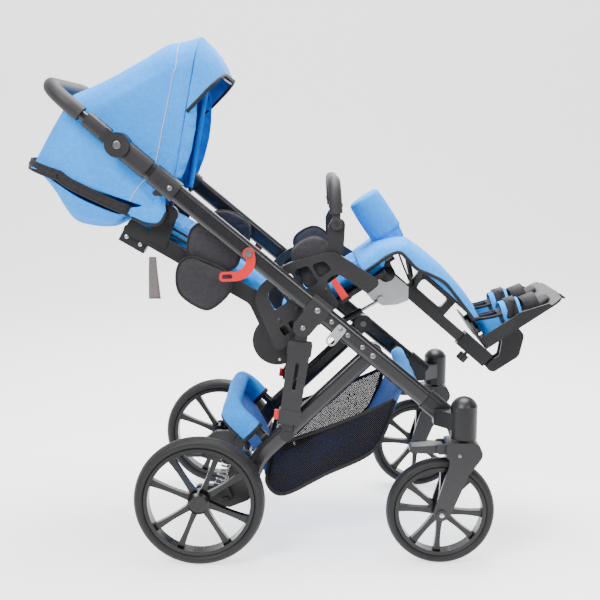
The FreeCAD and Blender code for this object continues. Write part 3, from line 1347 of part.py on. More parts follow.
def foot_cup(y):
    z = FOOT_RISE + 5.0 + 0.1
    sole = box(16.0, 200.0, y - 40.0, y + 40.0, z, z + 10.0)
    sole = sole.makeFillet(30.0, [e for e in sole.Edges if e.BoundBox.ZLength > 9.0])
    ring = rod(92.0, 150.0, 40.0, y, z + 9.0).cut(rod(90.0, 152.0, 36.0, y, z + 9.0))
    ring = ring.common(box(80.0, 160.0, y - 50.0, y + 50.0, z + 4.0, z + 60.0))
    heel = Part.makeCylinder(38.0, 46.0, Vector(56.0, y, z + 4.0))
    heel = heel.cut(Part.makeCylinder(34.0, 60.0, Vector(56.0, y, z + 2.0)))
    heel = heel.common(box(10.0, 56.0, y - 50.0, y + 50.0, z + 4.0, z + 60.0))
    return on_foot(joined([sole, ring, heel]))


GAS_AT = seat_point(GAS_FOOT[0], GAS_FOOT[1])
GAS_END = turned_point(28.5, -58.2, -COLUMN_DROP, KNEE_AT[0], KNEE_AT[1])
GAS_L = math.hypot(GAS_END[0] - GAS_AT[0], GAS_END[1] - GAS_AT[1])
GAS_TURN = math.degrees(math.atan2(GAS_END[1] - GAS_AT[1], GAS_END[0] - GAS_AT[0]))


def on_gas(shape):
    return turned(shape, GAS_TURN, GAS_AT[0], GAS_AT[1])


def gas_barrel():
    eye = pin(0, 0, 9.0, GAS_Y - 7.5, GAS_Y + 7.5)
    tube = rod(6.0, GAS_L * 0.6, 8.0, GAS_Y)
    whole = joined([eye, tube]).cut(rod(20.0, GAS_L * 0.6 + 1.0, 4.0 + RUN_FIT, GAS_Y))
    return on_gas(whole.cut(pin(0, 0, 4.0 + RUN_FIT, GAS_Y - 20.0, GAS_Y + 20.0)))


def gas_rod():
    shaft = rod(36.0, GAS_L, 4.0, GAS_Y)
    eye = pin(GAS_L, 0, 8.0, GAS_Y - 4.2, GAS_Y + 4.2)
    return on_gas(joined([shaft, eye]))


nodes["main_tubes"] = pair(main_tube())
nodes["handle_hinges_lower"] = pair(handle_hinge_low()) + pair(tube_collar())
nodes["caster_housings"] = pair(caster_housing()) + pair(caster_cap())
nodes["front_cross_tube"] = [front_cross()]
nodes["strut_brackets"] = pair(strut_bracket())
nodes["tie_down_eyes"] = pair(tie_down())
nodes["chassis_fasteners"] = chassis_fasteners()
nodes["handle_hinges_upper"] = pair(handle_hinge_up())
nodes["handle_tube"] = [handle_tube()]
nodes["handle_grip"] = [handle_grip()]
nodes["rear_legs"] = pair(rear_leg())
nodes["suspension_brackets"] = pair(suspension_bracket())
nodes["basket_bar"] = [basket_bar()]
nodes["rear_beam"] = [rear_beam()]
nodes["brake_pedal"] = [brake_pedal()]
nodes["basket"] = [basket()]
nodes["strut_sleeves"] = pair(strut_sleeve())
nodes["strut_stems"] = pair(strut_stem())
nodes["seat_sides"] = pair(seat_side())
nodes["seat_pan"] = [seat_pan()]
nodes["seat_cushion"] = [seat_cushion()]
nodes["hip_pads"] = pair(hip_pad())
nodes["abduction_block"] = [abduction_block()]
nodes["tilt_tabs"] = pair(tilt_tab())
nodes["bumper_bar"] = [bumper_bar()]
nodes["backrest_frame"] = [backrest()]
nodes["back_cushion"] = [back_cushion()]
nodes["lateral_pads"] = pair(lateral_pad())
nodes["canopy_hood"] = [canopy_hood(), canopy_tail()]
nodes["canopy_bow"] = [canopy_bow()]
nodes["leg_column"] = [leg_column()]
nodes["calf_pad"] = [calf_pad()]
nodes["foot_clamp"] = [foot_clamp()]
nodes["clamp_knob"] = [clamp_knob()]
nodes["foot_plate"] = [foot_plate()]
nodes["foot_cups"] = [foot_cup(75.0), foot_cup(-75.0)]
nodes["gas_barrel"] = [gas_barrel()]
nodes["gas_rod"] = [gas_rod()]

REAR_RIM_R = REAR_WHEEL_D / 2.0 - REAR_TYRE_DEPTH
FRONT_RIM_R = FRONT_WHEEL_D / 2.0 - FRONT_TYRE_DEPTH


def rear_rim():
    rim = wheel_rim(REAR_RIM_R, REAR_TYRE_W - 8.0, REAR_HUB_R, 23.0, 50.0, REAR_HUB_R + 3.5)
    rim.translate(Vector(0, REAR_Y, REAR_Z))
    return rim


def rear_tyre():
    rubber = tyre(REAR_WHEEL_D / 2.0, REAR_TYRE_DEPTH, REAR_TYRE_W)
    rubber.translate(Vector(0, REAR_Y, REAR_Z))
    return rubber


def front_rim():
    rim = wheel_rim(FRONT_RIM_R, FRONT_TYRE_W - 8.0, FRONT_HUB_R, 23.5, 68.0, 0.0)
    rim.translate(Vector(WHEELBASE, FRONT_Y, FRONT_Z))
    return rim


def front_tyre():
    rubber = tyre(FRONT_WHEEL_D / 2.0, FRONT_TYRE_DEPTH, FRONT_TYRE_W)
    rubber.translate(Vector(WHEELBASE, FRONT_Y, FRONT_Z))
    return rubber


def swing_spring():
    wound = coil(SPRING_R, SPRING_WIRE_R, SPRING_TURNS, SPRING_L)
    wound.translate(Vector(0, SPRING_Y, 0))
    return on_spring(wound)


sided = {
    "caster_fork": caster_fork(),
    "caster_lock": caster_lock(),
    "front_rim": front_rim(),
    "front_tyre": front_tyre(),
    "swing_arm": swing_arm(),
    "swing_spring": swing_spring(),
    "rear_rim": rear_rim(),
    "rear_tyre": rear_tyre(),
    "handle_button": handle_button(),
    "strut_button": strut_button(),
    "fold_hook": fold_hook(),
}
for name, shape in sided.items():
    nodes[name + "_left"] = [shape]
    nodes[name + "_right"] = [mirrored(shape)]

total = 0
for name, solids in nodes.items():
    placed = []
    for solid in solids:
        moved = solid.copy()
        moved.translate(Vector(CENTRE_SHIFT, 0, 0))
        placed.append(moved)
        if not moved.isValid() or len(moved.Solids) != 1:
            print("check", name, "valid", moved.isValid(), "solids", len(moved.Solids))
    whole = placed[0] if len(placed) == 1 else Part.makeCompound(placed)
    total += len(whole.Solids)
    whole.exportStep("parts/" + name + ".step")

print("nodes", len(nodes), "solids", total)
bounds = Part.makeCompound([s for solids in nodes.values() for s in solids]).BoundBox
print("box X %.1f..%.1f Y %.1f..%.1f Z %.1f..%.1f" % (
    bounds.XMin, bounds.XMax, bounds.YMin, bounds.YMax, bounds.ZMin, bounds.ZMax))
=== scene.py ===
"""Looks of the special needs stroller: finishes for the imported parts, and its sewn and padded pieces."""
import json
import math

import bmesh
import bpy
import numpy as np
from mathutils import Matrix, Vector, noise
from mathutils.bvhtree import BVHTree


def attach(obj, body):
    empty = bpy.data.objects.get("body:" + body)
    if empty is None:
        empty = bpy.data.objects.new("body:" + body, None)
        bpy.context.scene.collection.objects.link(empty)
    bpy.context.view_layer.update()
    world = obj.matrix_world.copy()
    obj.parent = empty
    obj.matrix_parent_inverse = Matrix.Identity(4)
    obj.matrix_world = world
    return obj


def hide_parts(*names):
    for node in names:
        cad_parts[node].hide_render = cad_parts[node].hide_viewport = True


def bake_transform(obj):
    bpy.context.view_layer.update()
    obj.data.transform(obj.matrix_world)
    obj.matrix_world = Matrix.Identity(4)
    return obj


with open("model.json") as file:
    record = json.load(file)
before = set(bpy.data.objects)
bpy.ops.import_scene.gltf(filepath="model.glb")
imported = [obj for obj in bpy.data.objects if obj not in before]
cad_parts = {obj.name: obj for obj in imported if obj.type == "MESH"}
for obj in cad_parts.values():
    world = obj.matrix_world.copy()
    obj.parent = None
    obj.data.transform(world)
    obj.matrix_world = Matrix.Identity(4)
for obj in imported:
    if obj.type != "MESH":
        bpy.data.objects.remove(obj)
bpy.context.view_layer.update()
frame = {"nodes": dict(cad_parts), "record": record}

NODES = frame["nodes"]
HANDS = (("left", 1), ("right", -1))
CENTRE = 233.8  # from the rear axle forward to the frame's origin, in millimetres


# Places: each part of the stroller is drawn in its own side view, in millimetres
def view_at(x0, z0, degrees):
    """A side view with its origin at (x0, z0): place(u, y, v) gives a point of it in metres."""
    c, s = math.cos(math.radians(degrees)), math.sin(math.radians(degrees))

    def place(u, y, v):
        return Vector(((x0 + u * c - v * s - CENTRE) / 1000, y / 1000, (z0 + u * s + v * c) / 1000))
    return place


side = view_at(0, 0, 0)
seat = view_at(175, 497, 33.6)
back = view_at(175, 497, 60)
leg = view_at(442.6, 636.4, -40.9)
foot = view_at(708.7, 405.9, 33.6)
hood = view_at(-70.1, 794.4, 60)


# Finishes
class Flow:
    """A socket of a finish: arithmetic on it adds Math nodes, and node() adds any other node."""

    def __init__(self, tree, socket=None):
        self.tree, self.socket = tree, socket

    def node(self, kind, settings=None, inputs=None, out=0):
        n = self.tree.nodes.new("ShaderNode" + kind)
        for key, value in (settings or {}).items():
            if key == "stops":
                ramp = n.color_ramp.elements
                while len(ramp) < len(value):
                    ramp.new(0.5)
                for stop, (at, colour) in zip(ramp, value):
                    stop.position, stop.color = at, (*colour, 1)
            else:
                setattr(n, key, value)
        for key, value in (inputs or {}).items():
            if isinstance(value, Flow):
                self.tree.links.new(value.socket, n.inputs[key])
            else:
                n.inputs[key].default_value = value
        return Flow(self.tree, n.outputs[out] if n.outputs else None)

    def axes(self):
        """The three coordinates of a point on the piece, in metres."""
        spot = self.node("TexCoord", None, None, "Object")
        parts = self.node("SeparateXYZ", None, {0: spot})
        return [Flow(self.tree, socket) for socket in parts.socket.node.outputs]

    def maths(self, operation, a, b=None):
        values = {0: a} if b is None else {0: a, 1: b}
        return self.node("Math", {"operation": operation}, values)

    def __add__(self, other):
        return self.maths("ADD", self, other)

    def __radd__(self, other):
        return self.maths("ADD", other, self)

    def __sub__(self, other):
        return self.maths("SUBTRACT", self, other)

    def __rsub__(self, other):
        return self.maths("SUBTRACT", other, self)

    def __mul__(self, other):
        return self.maths("MULTIPLY", self, other)

    def __rmul__(self, other):
        return self.maths("MULTIPLY", other, self)

    def sine(self):
        return self.maths("SINE", self)

    def above(self, level):
        return self.maths("GREATER_THAN", self, level)

    def clamped(self):
        return self.node("Clamp", None, {0: self})


def tint(flow, share, dark, light):
    """Colour from dark to light as share goes from 0 to 1."""
    return flow.node("ValToRGB", {"stops": ((0.0, dark), (1.0, light))}, {0: share})


def finish(name, draw, **fixed):
    """A material: draw(flow) returns what varies over it, fixed holds what doesn't."""
    made = bpy.data.materials.new(name)
    made.use_nodes = True
    made.node_tree.nodes.clear()
    flow = Flow(made.node_tree)
    varied = draw(flow)
    if "height" in varied:
        varied["Normal"] = flow.node("Bump", None, {
            "Strength": varied.pop("strength"), "Distance": varied.pop("depth"), "Height": varied.pop("height")})
    shader = flow.node("BsdfPrincipled", None, {**fixed, **varied})
    flow.node("OutputMaterial", None, {"Surface": shader})
    return made


def cloud(flow, scale, detail=2.0, stretch=(1, 1, 1)):
    """Soft noise from 0 to 1, that many waves to the metre."""
    spot = flow.node("TexCoord", None, None, "Object")
    spot = flow.node("Mapping", None, {"Vector": spot, "Scale": stretch})
    return flow.node("TexNoise", None, {"Vector": spot, "Scale": scale, "Detail": detail}, 0)


def weave(flow, pitch):
    """Crossing threads of that pitch in millimetres, the same on any slope."""
    turns = 2000 * math.pi / pitch
    x, y, z = ((axis * turns).sine() for axis in flow.axes())
    return x * y + y * z + z * x


def woven(dark, light, pitch=1.3, sheen=0.0, rough=0.82):
    """Cloth of threads of two shades, faintly creased."""
    def draw(flow):
        fleck = cloud(flow, 520, 3, (1, 1, 2.4))
        streak = cloud(flow, 190, 2, (3.5, 1, 1))
        drift = cloud(flow, 7, 2)
        mottle = cloud(flow, 95, 3, (1, 1, 1.8))
        share = (fleck * 0.9 + streak * 0.5 + mottle * 0.7 + drift * 0.35 - 0.75).clamped()
        threads = weave(flow, pitch)
        creases = cloud(flow, 26, 2)
        return {
            "Base Color": tint(flow, share, dark, light),
            "Roughness": rough - fleck * 0.1,
            "height": threads * 0.08 + creases * 1.5 + mottle * 0.15 + fleck * 0.14,
            "depth": 0.003, "strength": 0.55,
        }
    return lambda name: finish(name, draw, **{"Sheen Weight": sheen, "Specular IOR Level": 0.2})


def moulded(dark, light, rough, grain=1500, depth=0.00015, **fixed):
    """Moulded or coated surface with a fine grain and faint scuffs."""
    def draw(flow):
        pores = cloud(flow, grain, 2)
        patch = cloud(flow, 14, 3)
        scuff = cloud(flow, 60, 4, (1, 1, 5))
        share = (patch * 0.7 + scuff * 0.5 - 0.1).clamped()
        return {
            "Base Color": tint(flow, share, dark, light),
            "Roughness": rough + patch * 0.14 - scuff * 0.1,
            "height": pores, "depth": depth, "strength": 0.6,
        }
    return lambda name: finish(name, draw, **{"Specular IOR Level": 0.3, **fixed})


def plated(dark, light, rough):
    """Bare or plated steel with drawn bands."""
    def draw(flow):
        bands = cloud(flow, 320, 4, (1, 6, 1))
        bloom = cloud(flow, 40, 3)
        return {
            "Base Color": tint(flow, (bloom * 0.6 + bands * 0.5 - 0.05).clamped(), dark, light),
            "Roughness": rough + bands * 0.18,
            "height": bands, "depth": 0.00008, "strength": 0.5,
        }
    return lambda name: finish(name, draw, Metallic=1.0)


def open_mesh(dark, light, pitch, hole):
    """Knitted net of the side panels: slanting threads with see-through holes between them."""
    def draw(flow):
        turns = 1000 * math.pi / pitch
        x, _, z = flow.axes()
        x, z = x * turns, z * turns
        rise, fall = (x + z).sine(), (x - z).sine()
        opening = rise * rise * fall * fall
        shade = cloud(flow, 30, 3)
        return {
            "Base Color": tint(flow, shade, dark, light),
            "Roughness": 0.7 + shade * 0.2,
            "Alpha": 1 - opening.above(hole),
            "height": 1 - opening, "depth": 0.0004, "strength": 0.4,
        }
    return lambda name: finish(name, draw, **{"Specular IOR Level": 0.1})


def rolled_rubber():
    """Tyre rubber, dusty and finely pored."""
    def draw(flow):
        dust = cloud(flow, 35, 4)
        pores = cloud(flow, 900, 2)
        return {
            "Base Color": tint(flow, dust, (0.005, 0.005, 0.006), (0.016, 0.015, 0.016)),
            "Roughness": 0.48 + dust * 0.22,
            "height": pores, "depth": 0.0002, "strength": 0.5,
        }
    return lambda name: finish(name, draw, **{"Specular IOR Level": 0.28})


RECIPES = {
    "tube_coat": moulded((0.013, 0.013, 0.014), (0.018, 0.018, 0.020), 0.22, 2400, 0.00003,
                         **{"Metallic": 0.3, "Specular IOR Level": 0.55}),
    "black_moulding": moulded((0.006, 0.006, 0.007), (0.014, 0.014, 0.016), 0.36),
    "grey_moulding": moulded((0.012, 0.012, 0.013), (0.024, 0.023, 0.025), 0.36),
    "red_moulding": moulded((0.48, 0.006, 0.010), (0.62, 0.018, 0.020), 0.30, 1800, 0.00006,
                            **{"Coat Weight": 0.2}),
    "zinc_plate": plated((0.36, 0.37, 0.38), (0.62, 0.63, 0.64), 0.28),
    "dull_steel": plated((0.12, 0.12, 0.125), (0.27, 0.27, 0.28), 0.30),
    "rim_gloss": moulded((0.002, 0.002, 0.0025), (0.005, 0.005, 0.006), 0.24, 1200, 0.00003,
                         **{"Specular IOR Level": 0.32}),
    "tyre_rubber": rolled_rubber(),
    "grip_foam": moulded((0.014, 0.012, 0.014), (0.028, 0.025, 0.028), 0.58, 700, 0.0003),
    "blue_cloth": woven((0.0, 0.155, 0.66), (0.008, 0.36, 0.95)),
    # The lining finish is the blue cloth again, painted darker: painted shade on the inner faces of the hood, visor,
    # tail, side flaps and basket sling.
    "blue_lining": woven((0.010, 0.075, 0.34), (0.035, 0.17, 0.56), 1.3, 0.05),
    "black_cloth": woven((0.012, 0.011, 0.014), (0.036, 0.034, 0.039), 1.5, 0.08),
    "black_webbing": woven((0.006, 0.006, 0.007), (0.020, 0.019, 0.021), 2.2, 0.05, 0.75),
    "grey_webbing": woven((0.075, 0.068, 0.066), (0.16, 0.145, 0.14), 2.0, 0.1, 0.75),
    "silver_piping": moulded((0.30, 0.31, 0.35), (0.48, 0.49, 0.53), 0.34, 1800, 0.0001),
    "black_mesh": open_mesh((0.004, 0.004, 0.005), (0.010, 0.009, 0.010), 4.8, 0.78),
    "plate_coat": moulded((0.008, 0.008, 0.009), (0.020, 0.020, 0.022), 0.42, 1100, 0.0003, Metallic=0.2),
}
FINISHES = {name: make(name) for name, make in RECIPES.items()}
FINISH_OF_SLOT = {
    "frame_tube": "tube_coat", "black_plastic": "black_moulding", "grey_plastic": "grey_moulding",
    "red_plastic": "red_moulding", "steel": "zinc_plate", "tyre": "tyre_rubber", "foam_grip": "grip_foam",
    "blue_cloth": "blue_cloth", "black_cloth": "black_cloth", "mesh_cloth": "black_mesh",
    "footplate_metal": "plate_coat", "sandal": "black_cloth",
}
OWN_FINISH = {"chassis_fasteners": "dull_steel"}
for hand, _ in HANDS:
    OWN_FINISH["handle_button_" + hand] = "dull_steel"
    OWN_FINISH["rear_rim_" + hand] = OWN_FINISH["front_rim_" + hand] = "rim_gloss"
for row in frame["record"]["subparts"]:
    node = NODES[row["node"]]
    node.data.materials.clear()
    look = OWN_FINISH.get(row["node"], FINISH_OF_SLOT[row["material_slot"]])
    node.data.materials.append(FINISHES[look])


# Meshes
def piece(name, points, faces, *finishes):
    """A mesh of those points and faces; its first finish says which slot it takes."""
    mesh = bpy.data.meshes.new(name)
    mesh.from_pydata([tuple(p) for p in points], [], faces)
    mesh.validate()
    mesh.update()
    for f in finishes:
        mesh.materials.append(FINISHES[f])
    mesh.shade_smooth()
    made = bpy.data.objects.new(name, mesh)
    bpy.context.scene.collection.objects.link(made)
    return made


def grid_faces(rows, columns, round_rows=False, round_columns=False):
    """Faces between rows of points, joined up where the rows or columns run round."""
    faces = []
    for i in range(rows if round_rows else rows - 1):
        for j in range(columns if round_columns else columns - 1):
            a, b = i * columns + j, i * columns + (j + 1) % columns
            c = ((i + 1) % rows) * columns
            faces.append((a, b, c + (j + 1) % columns, c + j))
    return faces


def apply_all(made):
    """Turns the modifiers of a piece into its mesh."""
    evaluated = made.evaluated_get(bpy.context.evaluated_depsgraph_get())
    mesh = bpy.data.meshes.new_from_object(evaluated)
    made.modifiers.clear()
    old, made.data = made.data, mesh
    bpy.data.meshes.remove(old)
    mesh.shade_smooth()
    return made


def face_outwards(made, close=False):
    """Turns the faces of a piece outwards, after filling its open ends where asked."""
    bm = bmesh.new()
    bm.from_mesh(made.data)
    if close:
        bmesh.ops.holes_fill(bm, edges=bm.edges)
    bmesh.ops.recalc_face_normals(bm, faces=bm.faces)
    bm.to_mesh(made.data)
    bm.free()


def thicken(made, thickness, lining=False, levels=0):
    """Gives a sheet its thickness inwards, and rounds it by that many subdivisions."""
    wall = made.modifiers.new("wall", "SOLIDIFY")
    wall.thickness, wall.offset = thickness / 1000, -1
    if lining:
        wall.material_offset = 1
    if levels:
        made.modifiers.new("smooth", "SUBSURF").levels = levels
    bpy.context.view_layer.update()
    return apply_all(made)


def sheet(name, rows, thickness, *finishes, levels=0):
    """Cloth through rows of points, thickened inwards, lined where two finishes are named."""
    points = [p for row in rows for p in row]
    made = piece(name, points, grid_faces(len(rows), len(rows[0])), *finishes)
    return thicken(made, thickness, len(finishes) > 1, levels)


def smooth_line(points, steps, closed=False):
    """Points along a smooth curve through the given ones."""
    n, line = len(points), []
    for i in range(n if closed else n - 1):
        p1, p2 = points[i], points[(i + 1) % n]
        p0 = points[(i - 1) % n] if closed or i else p1 * 2 - p2
        p3 = points[(i + 2) % n] if closed or i + 2 < n else p2 * 2 - p1
        for k in range(steps):
            t = k / steps
            line.append(0.5 * (2 * p1 + (p2 - p0) * t + (2 * p0 - 5 * p1 + 4 * p2 - p3) * t * t
                               + (3 * p1 - p0 - 3 * p2 + p3) * t ** 3))
    if not closed:
        line.append(points[-1].copy())
    return line


def sweep(name, line, section, made_of, closed=False, up=None):
    """A section of (across, height) in millimetres drawn along a line."""
    n, rows = len(line), []
    for i, p in enumerate(line):
        ahead = line[(i + 1) % n] if closed or i + 1 < n else p
        behind = line[i - 1] if closed or i else p
        along = (ahead - behind).normalized()
        if up is None:
            lift = Vector((0, 1, 0)) if abs(along.y) < 0.8 else Vector((0, 0, 1))
        else:
            lift = up(p) if callable(up) else up
        across = along.cross(lift).normalized()
        lift = across.cross(along)
        rows.append([p + (across * a + lift * h) / 1000 for a, h in section])
    points = [p for row in rows for p in row]
    faces = grid_faces(n, len(section), closed, True)
    if not closed:
        faces += [tuple(range(len(section)))[::-1],
                  tuple((n - 1) * len(section) + k for k in range(len(section)))]
    return piece(name, points, faces, made_of)


def circle(r, n=12, flat=1.0):
    """Round section of n points, pressed flat by that share."""
    turns = [2 * math.pi * k / n for k in range(n)]
    return [(r * math.cos(a), r * flat * math.sin(a)) for a in turns]


def band(width, thick):
    """Section of flat webbing with bevelled edges."""
    w, t = width / 2, thick / 2
    bevel = t * 0.3
    return [(-w + bevel, -t), (w - bevel, -t), (w, 0), (w - bevel, t), (-w + bevel, t), (-w, 0)]


def ruffle(p, scale, size, seed=0.0):
    """A small wandering move, the same each run."""
    q = Vector((p.x * scale + seed, p.y * scale + 3.1 * seed, p.z * scale - seed))
    apart = (Vector((0, 0, 0)), Vector((7, 3, 1)), Vector((1, 9, 5)))
    return Vector([noise.noise(q + step) for step in apart]) * size / 1000


def puff(flat_at, share):
    """Fullness from 0 at both ends to 1 in the middle; a higher power stays full for longer."""
    return (1 - abs(2 * share - 1) ** flat_at) ** (1 / flat_at)


def pillow(name, at, u0, u1, half, v0, v1, made_of, crown=6.0, waist=5.0, rows=26, around=40):
    """A crowned cushion along u, its base at v0: rounded edges, sides drawn in between the corners."""
    points = []
    middle, deep = (v0 + v1) / 2, (v1 - v0) / 2
    for i in range(rows):
        share = 0.5 - 0.5 * math.cos(math.pi * (i + 0.35) / (rows - 0.3))
        end = puff(5.0, share)
        u = u0 + (u1 - u0) * share
        pull = waist * math.sin(math.pi * share)
        for k in range(around):
            a = 2 * math.pi * k / around
            c, s = math.cos(a), math.sin(a)
            y = (half * (0.86 + 0.14 * end) - pull * abs(c)) * math.copysign(abs(c) ** 0.42, c)
            v = deep * (0.25 + 0.75 * end) * math.copysign(abs(s) ** 0.55, s)
            if s > 0:
                v += crown * (1 - (y / half) ** 2) * end - crown * 0.6
            points.append(at(u, y, middle + v))
    faces = grid_faces(rows, around, False, True)
    faces += [tuple(range(around)), tuple((rows - 1) * around + k for k in range(around))[::-1]]
    return piece(name, points, faces, made_of)


def slab(name, at, corners, y0, y1, made_of, crown=5.0, edge=10.0):
    """A padded slab with the given side outline, its inner face at y0 and a crowned face at y1."""
    line = smooth_line([Vector((u, 0, v)) for u, v in corners], 8, True)
    heart = sum(line, Vector()) / len(line)
    rows = []
    steps = [(0.02, 0, 0), (0.5, 0, 0), (1 - edge / 90, 0, 0), (1.0, 0.25, 0), (1.02, 0.5, 0),
             (1.0, 0.75, 0), (1 - edge / 90, 1.0, 0), (0.8, 1.0, 0.45), (0.5, 1.0, 0.85), (0.02, 1.0, 1.0)]
    for scale, depth, rise in steps:
        y = y0 + (y1 - y0) * depth + rise * (crown if y1 > y0 else -crown)
        rows.append([at(heart.x + (p.x - heart.x) * scale, y, heart.z + (p.z - heart.z) * scale) for p in line])
    points = [p for row in rows for p in row]
    made = piece(name, points, grid_faces(len(rows), len(line), False, True), made_of)
    face_outwards(made, close=True)
    return made


def stuffed(made, cap, seams=None, voxel=5.0, hold=None):
    """Swells a cushion as its filling does, keeps it within the cap, then sews its channels."""
    skin = made.modifiers.new("skin", "REMESH")
    skin.mode, skin.voxel_size = "VOXEL", voxel / 1000
    bpy.context.view_layer.update()
    apply_all(made)
    rest = [v.co.copy() for v in made.data.vertices]
    cloth = made.modifiers.new("cloth", "CLOTH")
    cloth.settings.quality = 4
    cloth.settings.mass = 0.3
    cloth.settings.tension_stiffness = cloth.settings.compression_stiffness = 12
    cloth.settings.bending_stiffness = 0.4
    cloth.settings.use_pressure = True
    cloth.settings.uniform_pressure_force = 4.0
    cloth.settings.effector_weights.gravity = 0
    for f in range(1, 21):
        bpy.context.scene.frame_set(f)
    apply_all(made)
    for v, r in zip(made.data.vertices, rest):
        move = v.co - r
        if move.length > cap / 1000:
            v.co = r + move * (cap / 1000 / move.length)
    bpy.context.scene.frame_set(1)
    if hold or seams:
        normals = [v.normal.copy() for v in made.data.vertices]
        for v, n in zip(made.data.vertices, normals):
            if seams:
                v.co -= n * seams(v.co) / 1000
            if hold:
                v.co = hold(v.co)
    made.modifiers.new("smooth", "SUBSURF").levels = 1
    bpy.context.view_layer.update()
    apply_all(made)
    return made


def local(at):
    """Turns a place in the frame back into the (u, y, v) of a side view."""
    o, a, b = at(0, 0, 0), at(1, 0, 0), at(0, 0, 1)
    eu, ev = (a - o) * 1000, (b - o) * 1000

    def back_to(p):
        d = p - o
        return d.dot(eu) * 1000, p.y * 1000, d.dot(ev) * 1000
    return back_to


def groove(d, width, depth):
    """Depth of a sewn channel at the distance d from its middle."""
    return depth * math.exp(-(d / width) ** 2)


# Camera, floor and light, in metres
EYE, LENS, SENSOR = ((247.618 - CENTRE) / 1000, -2.53758, 0.96221), 61.903, 36.0
PITCH, YAW = 0.153966, 0.008104
PAPER_NEAR, PAPER_BEND, PAPER_ROUND, PAPER_TOP, PAPER_HALF = -9.0, 3.2, 2.2, 9.0, 14.0
PAPER_GLOW, PAPER_FADE, PAPER_START = 1.6, 1.4, 1.7
WORLD_GLOW, WORLD_COLOUR = 0.20, (0.92, 0.94, 0.96, 1)
LAMPS = (  # name, place, aim, size, power
    ("key_lamp", (-1.6, -2.6, 3.0), (0, 0, 0.6), 1.6, 240),
    ("front_lamp", (1.8, -2.8, 2.2), (0.1, 0, 0.5), 1.4, 60),
    ("top_lamp", (0.2, 0.4, 3.4), (0, 0, 0.5), 2.0, 330),
    ("back_lamp", (0.6, 2.6, 2.4), (0, 0, 0.6), 1.6, 60),
)


def looking(made, ahead):
    """Turns a camera or lamp to look that way, and puts it in the scene."""
    made.rotation_euler = ahead.to_track_quat("-Z", "Y").to_euler()
    bpy.context.scene.collection.objects.link(made)


def studio():
    """The picture's camera, a pale paper sweep that glows behind the stroller, and four lamps."""
    camera = bpy.data.cameras.new("camera")
    camera.lens, camera.sensor_width = LENS, SENSOR
    eye = bpy.data.objects.new("camera", camera)
    eye.location = EYE
    level = math.cos(PITCH)
    looking(eye, Vector((-math.sin(YAW) * level, math.cos(YAW) * level, -math.sin(PITCH))))
    bpy.context.scene.camera = eye
    bend = [math.pi / 2 * k / 14 for k in range(15)]
    curve = [(PAPER_BEND + PAPER_ROUND * math.sin(a), PAPER_ROUND - PAPER_ROUND * math.cos(a)) for a in bend]
    curve = [(PAPER_NEAR, 0.0), *curve, (PAPER_BEND + PAPER_ROUND, PAPER_TOP)]
    rows = [[Vector((x, y, z)) for x in (-PAPER_HALF, PAPER_HALF)] for y, z in curve]
    floor = piece("floor", [p for row in rows for p in row], grid_faces(len(rows), 2), "tyre_rubber")
    floor.data.materials.clear()

    def pale(flow):
        grain = cloud(flow, 40, 2)
        near = (flow.axes()[1] * PAPER_FADE + PAPER_START).clamped()
        return {"Base Color": tint(flow, grain, (0.60, 0.60, 0.60), (0.62, 0.62, 0.62)),
                "Roughness": 0.85 + grain * 0.1,
                "Emission Color": tint(flow, near, (0.0, 0.0, 0.0), (1.0, 1.0, 1.0))}
    floor.data.materials.append(finish("floor_paper", pale, **{"Emission Strength": PAPER_GLOW}))
    world = bpy.data.worlds.new("studio")
    world.use_nodes = True
    sky = world.node_tree.nodes["Background"].inputs
    sky[0].default_value, sky[1].default_value = WORLD_COLOUR, WORLD_GLOW
    bpy.context.scene.world = world
    for name, spot, aim, size, power in LAMPS:
        lamp = bpy.data.lights.new(name, "AREA")
        lamp.size, lamp.energy = size, power
        made = bpy.data.objects.new(name, lamp)
        made.location = spot
        looking(made, Vector(aim) - Vector(spot))


# Canopy, drawn round its hinge: turn is the angle of a bow from the front, reach its length
HOOD_BOWS = ((102.0, 340.0), (70.0, 352.0), (30.0, 384.0), (19.6, 408.0))
HOOD_SPANS = ((14, 5.0, -3.0), (18, 6.0, 6.0), (6, 2.0, 2.0))  # rows, side slack and sag from bow to bow
HOOD_HALF, HOOD_FOOT, HOOD_ROUND = 188.0, 42.0, 70.0
SIDE_FROM, TOP_FADE = 0.186, 0.19  # how far out the side cloth starts and the top's sag ends, in metres
HINGE_FOLDS, HINGE_FOLD_REACH = 4.5, 0.30
FRONT_TURN, FRONT_REACH = HOOD_BOWS[-1]
REAR_TURN, REAR_REACH = HOOD_BOWS[0]
CLOTH_TURN, CLOTH_REACH = HOOD_BOWS[1][0], 375.0  # where the cloth starts to fold
BOW_HALF, BOW_REACH, BOW_FOOT = 176.0, 394.0, 46.0
WALL_FOOT, WALL_TOP, WALL_HALF = 60, 330, 183
SEAM_TURN, SEAM_REACH = 26.2, 393.0
SIDE_SEAM = ((-18, 92), (6, 91), (32, 88), (82, 81), (159, 105), (245, 132), (282, 144))
ZIP_SIDE = ((-38, 82), (-44, 130), (-48, 180), (-51, 230))
ZIP_RIDGES = ((-12, -1.2), (12, -1.2), (12.5, 0.8), (9, 2.4), (6, 1.0),
              (2.6, 3.0), (-2.6, 3.0), (-6, 1.0), (-9, 2.4), (-12.5, 0.8))
TAIL_CURVE = ((-44, 84), (-70, 90), (-100, 104), (-124, 146), (-136, 190), (-118, 232), (-88, 276), (-62, 322))
TAIL_HALF = 182
FLAP_TOP = ((-36, 94), (-16, 66), (10, 48), (42, 30))
FLAP_LOW = ((-50, 70), (-46, 36), (-30, 10), (2, 8))
GATHER_FOOT, GATHER_L, GATHER_WIDTH = 84, 214, 27
BRIM_TURN, BRIM_L, BRIM_FOOT = 241.7, 101.0, 236.0


def hood_mid(turn, reach=300.0):
    return hood(reach * math.cos(math.radians(turn)), 0, reach * math.sin(math.radians(turn)))


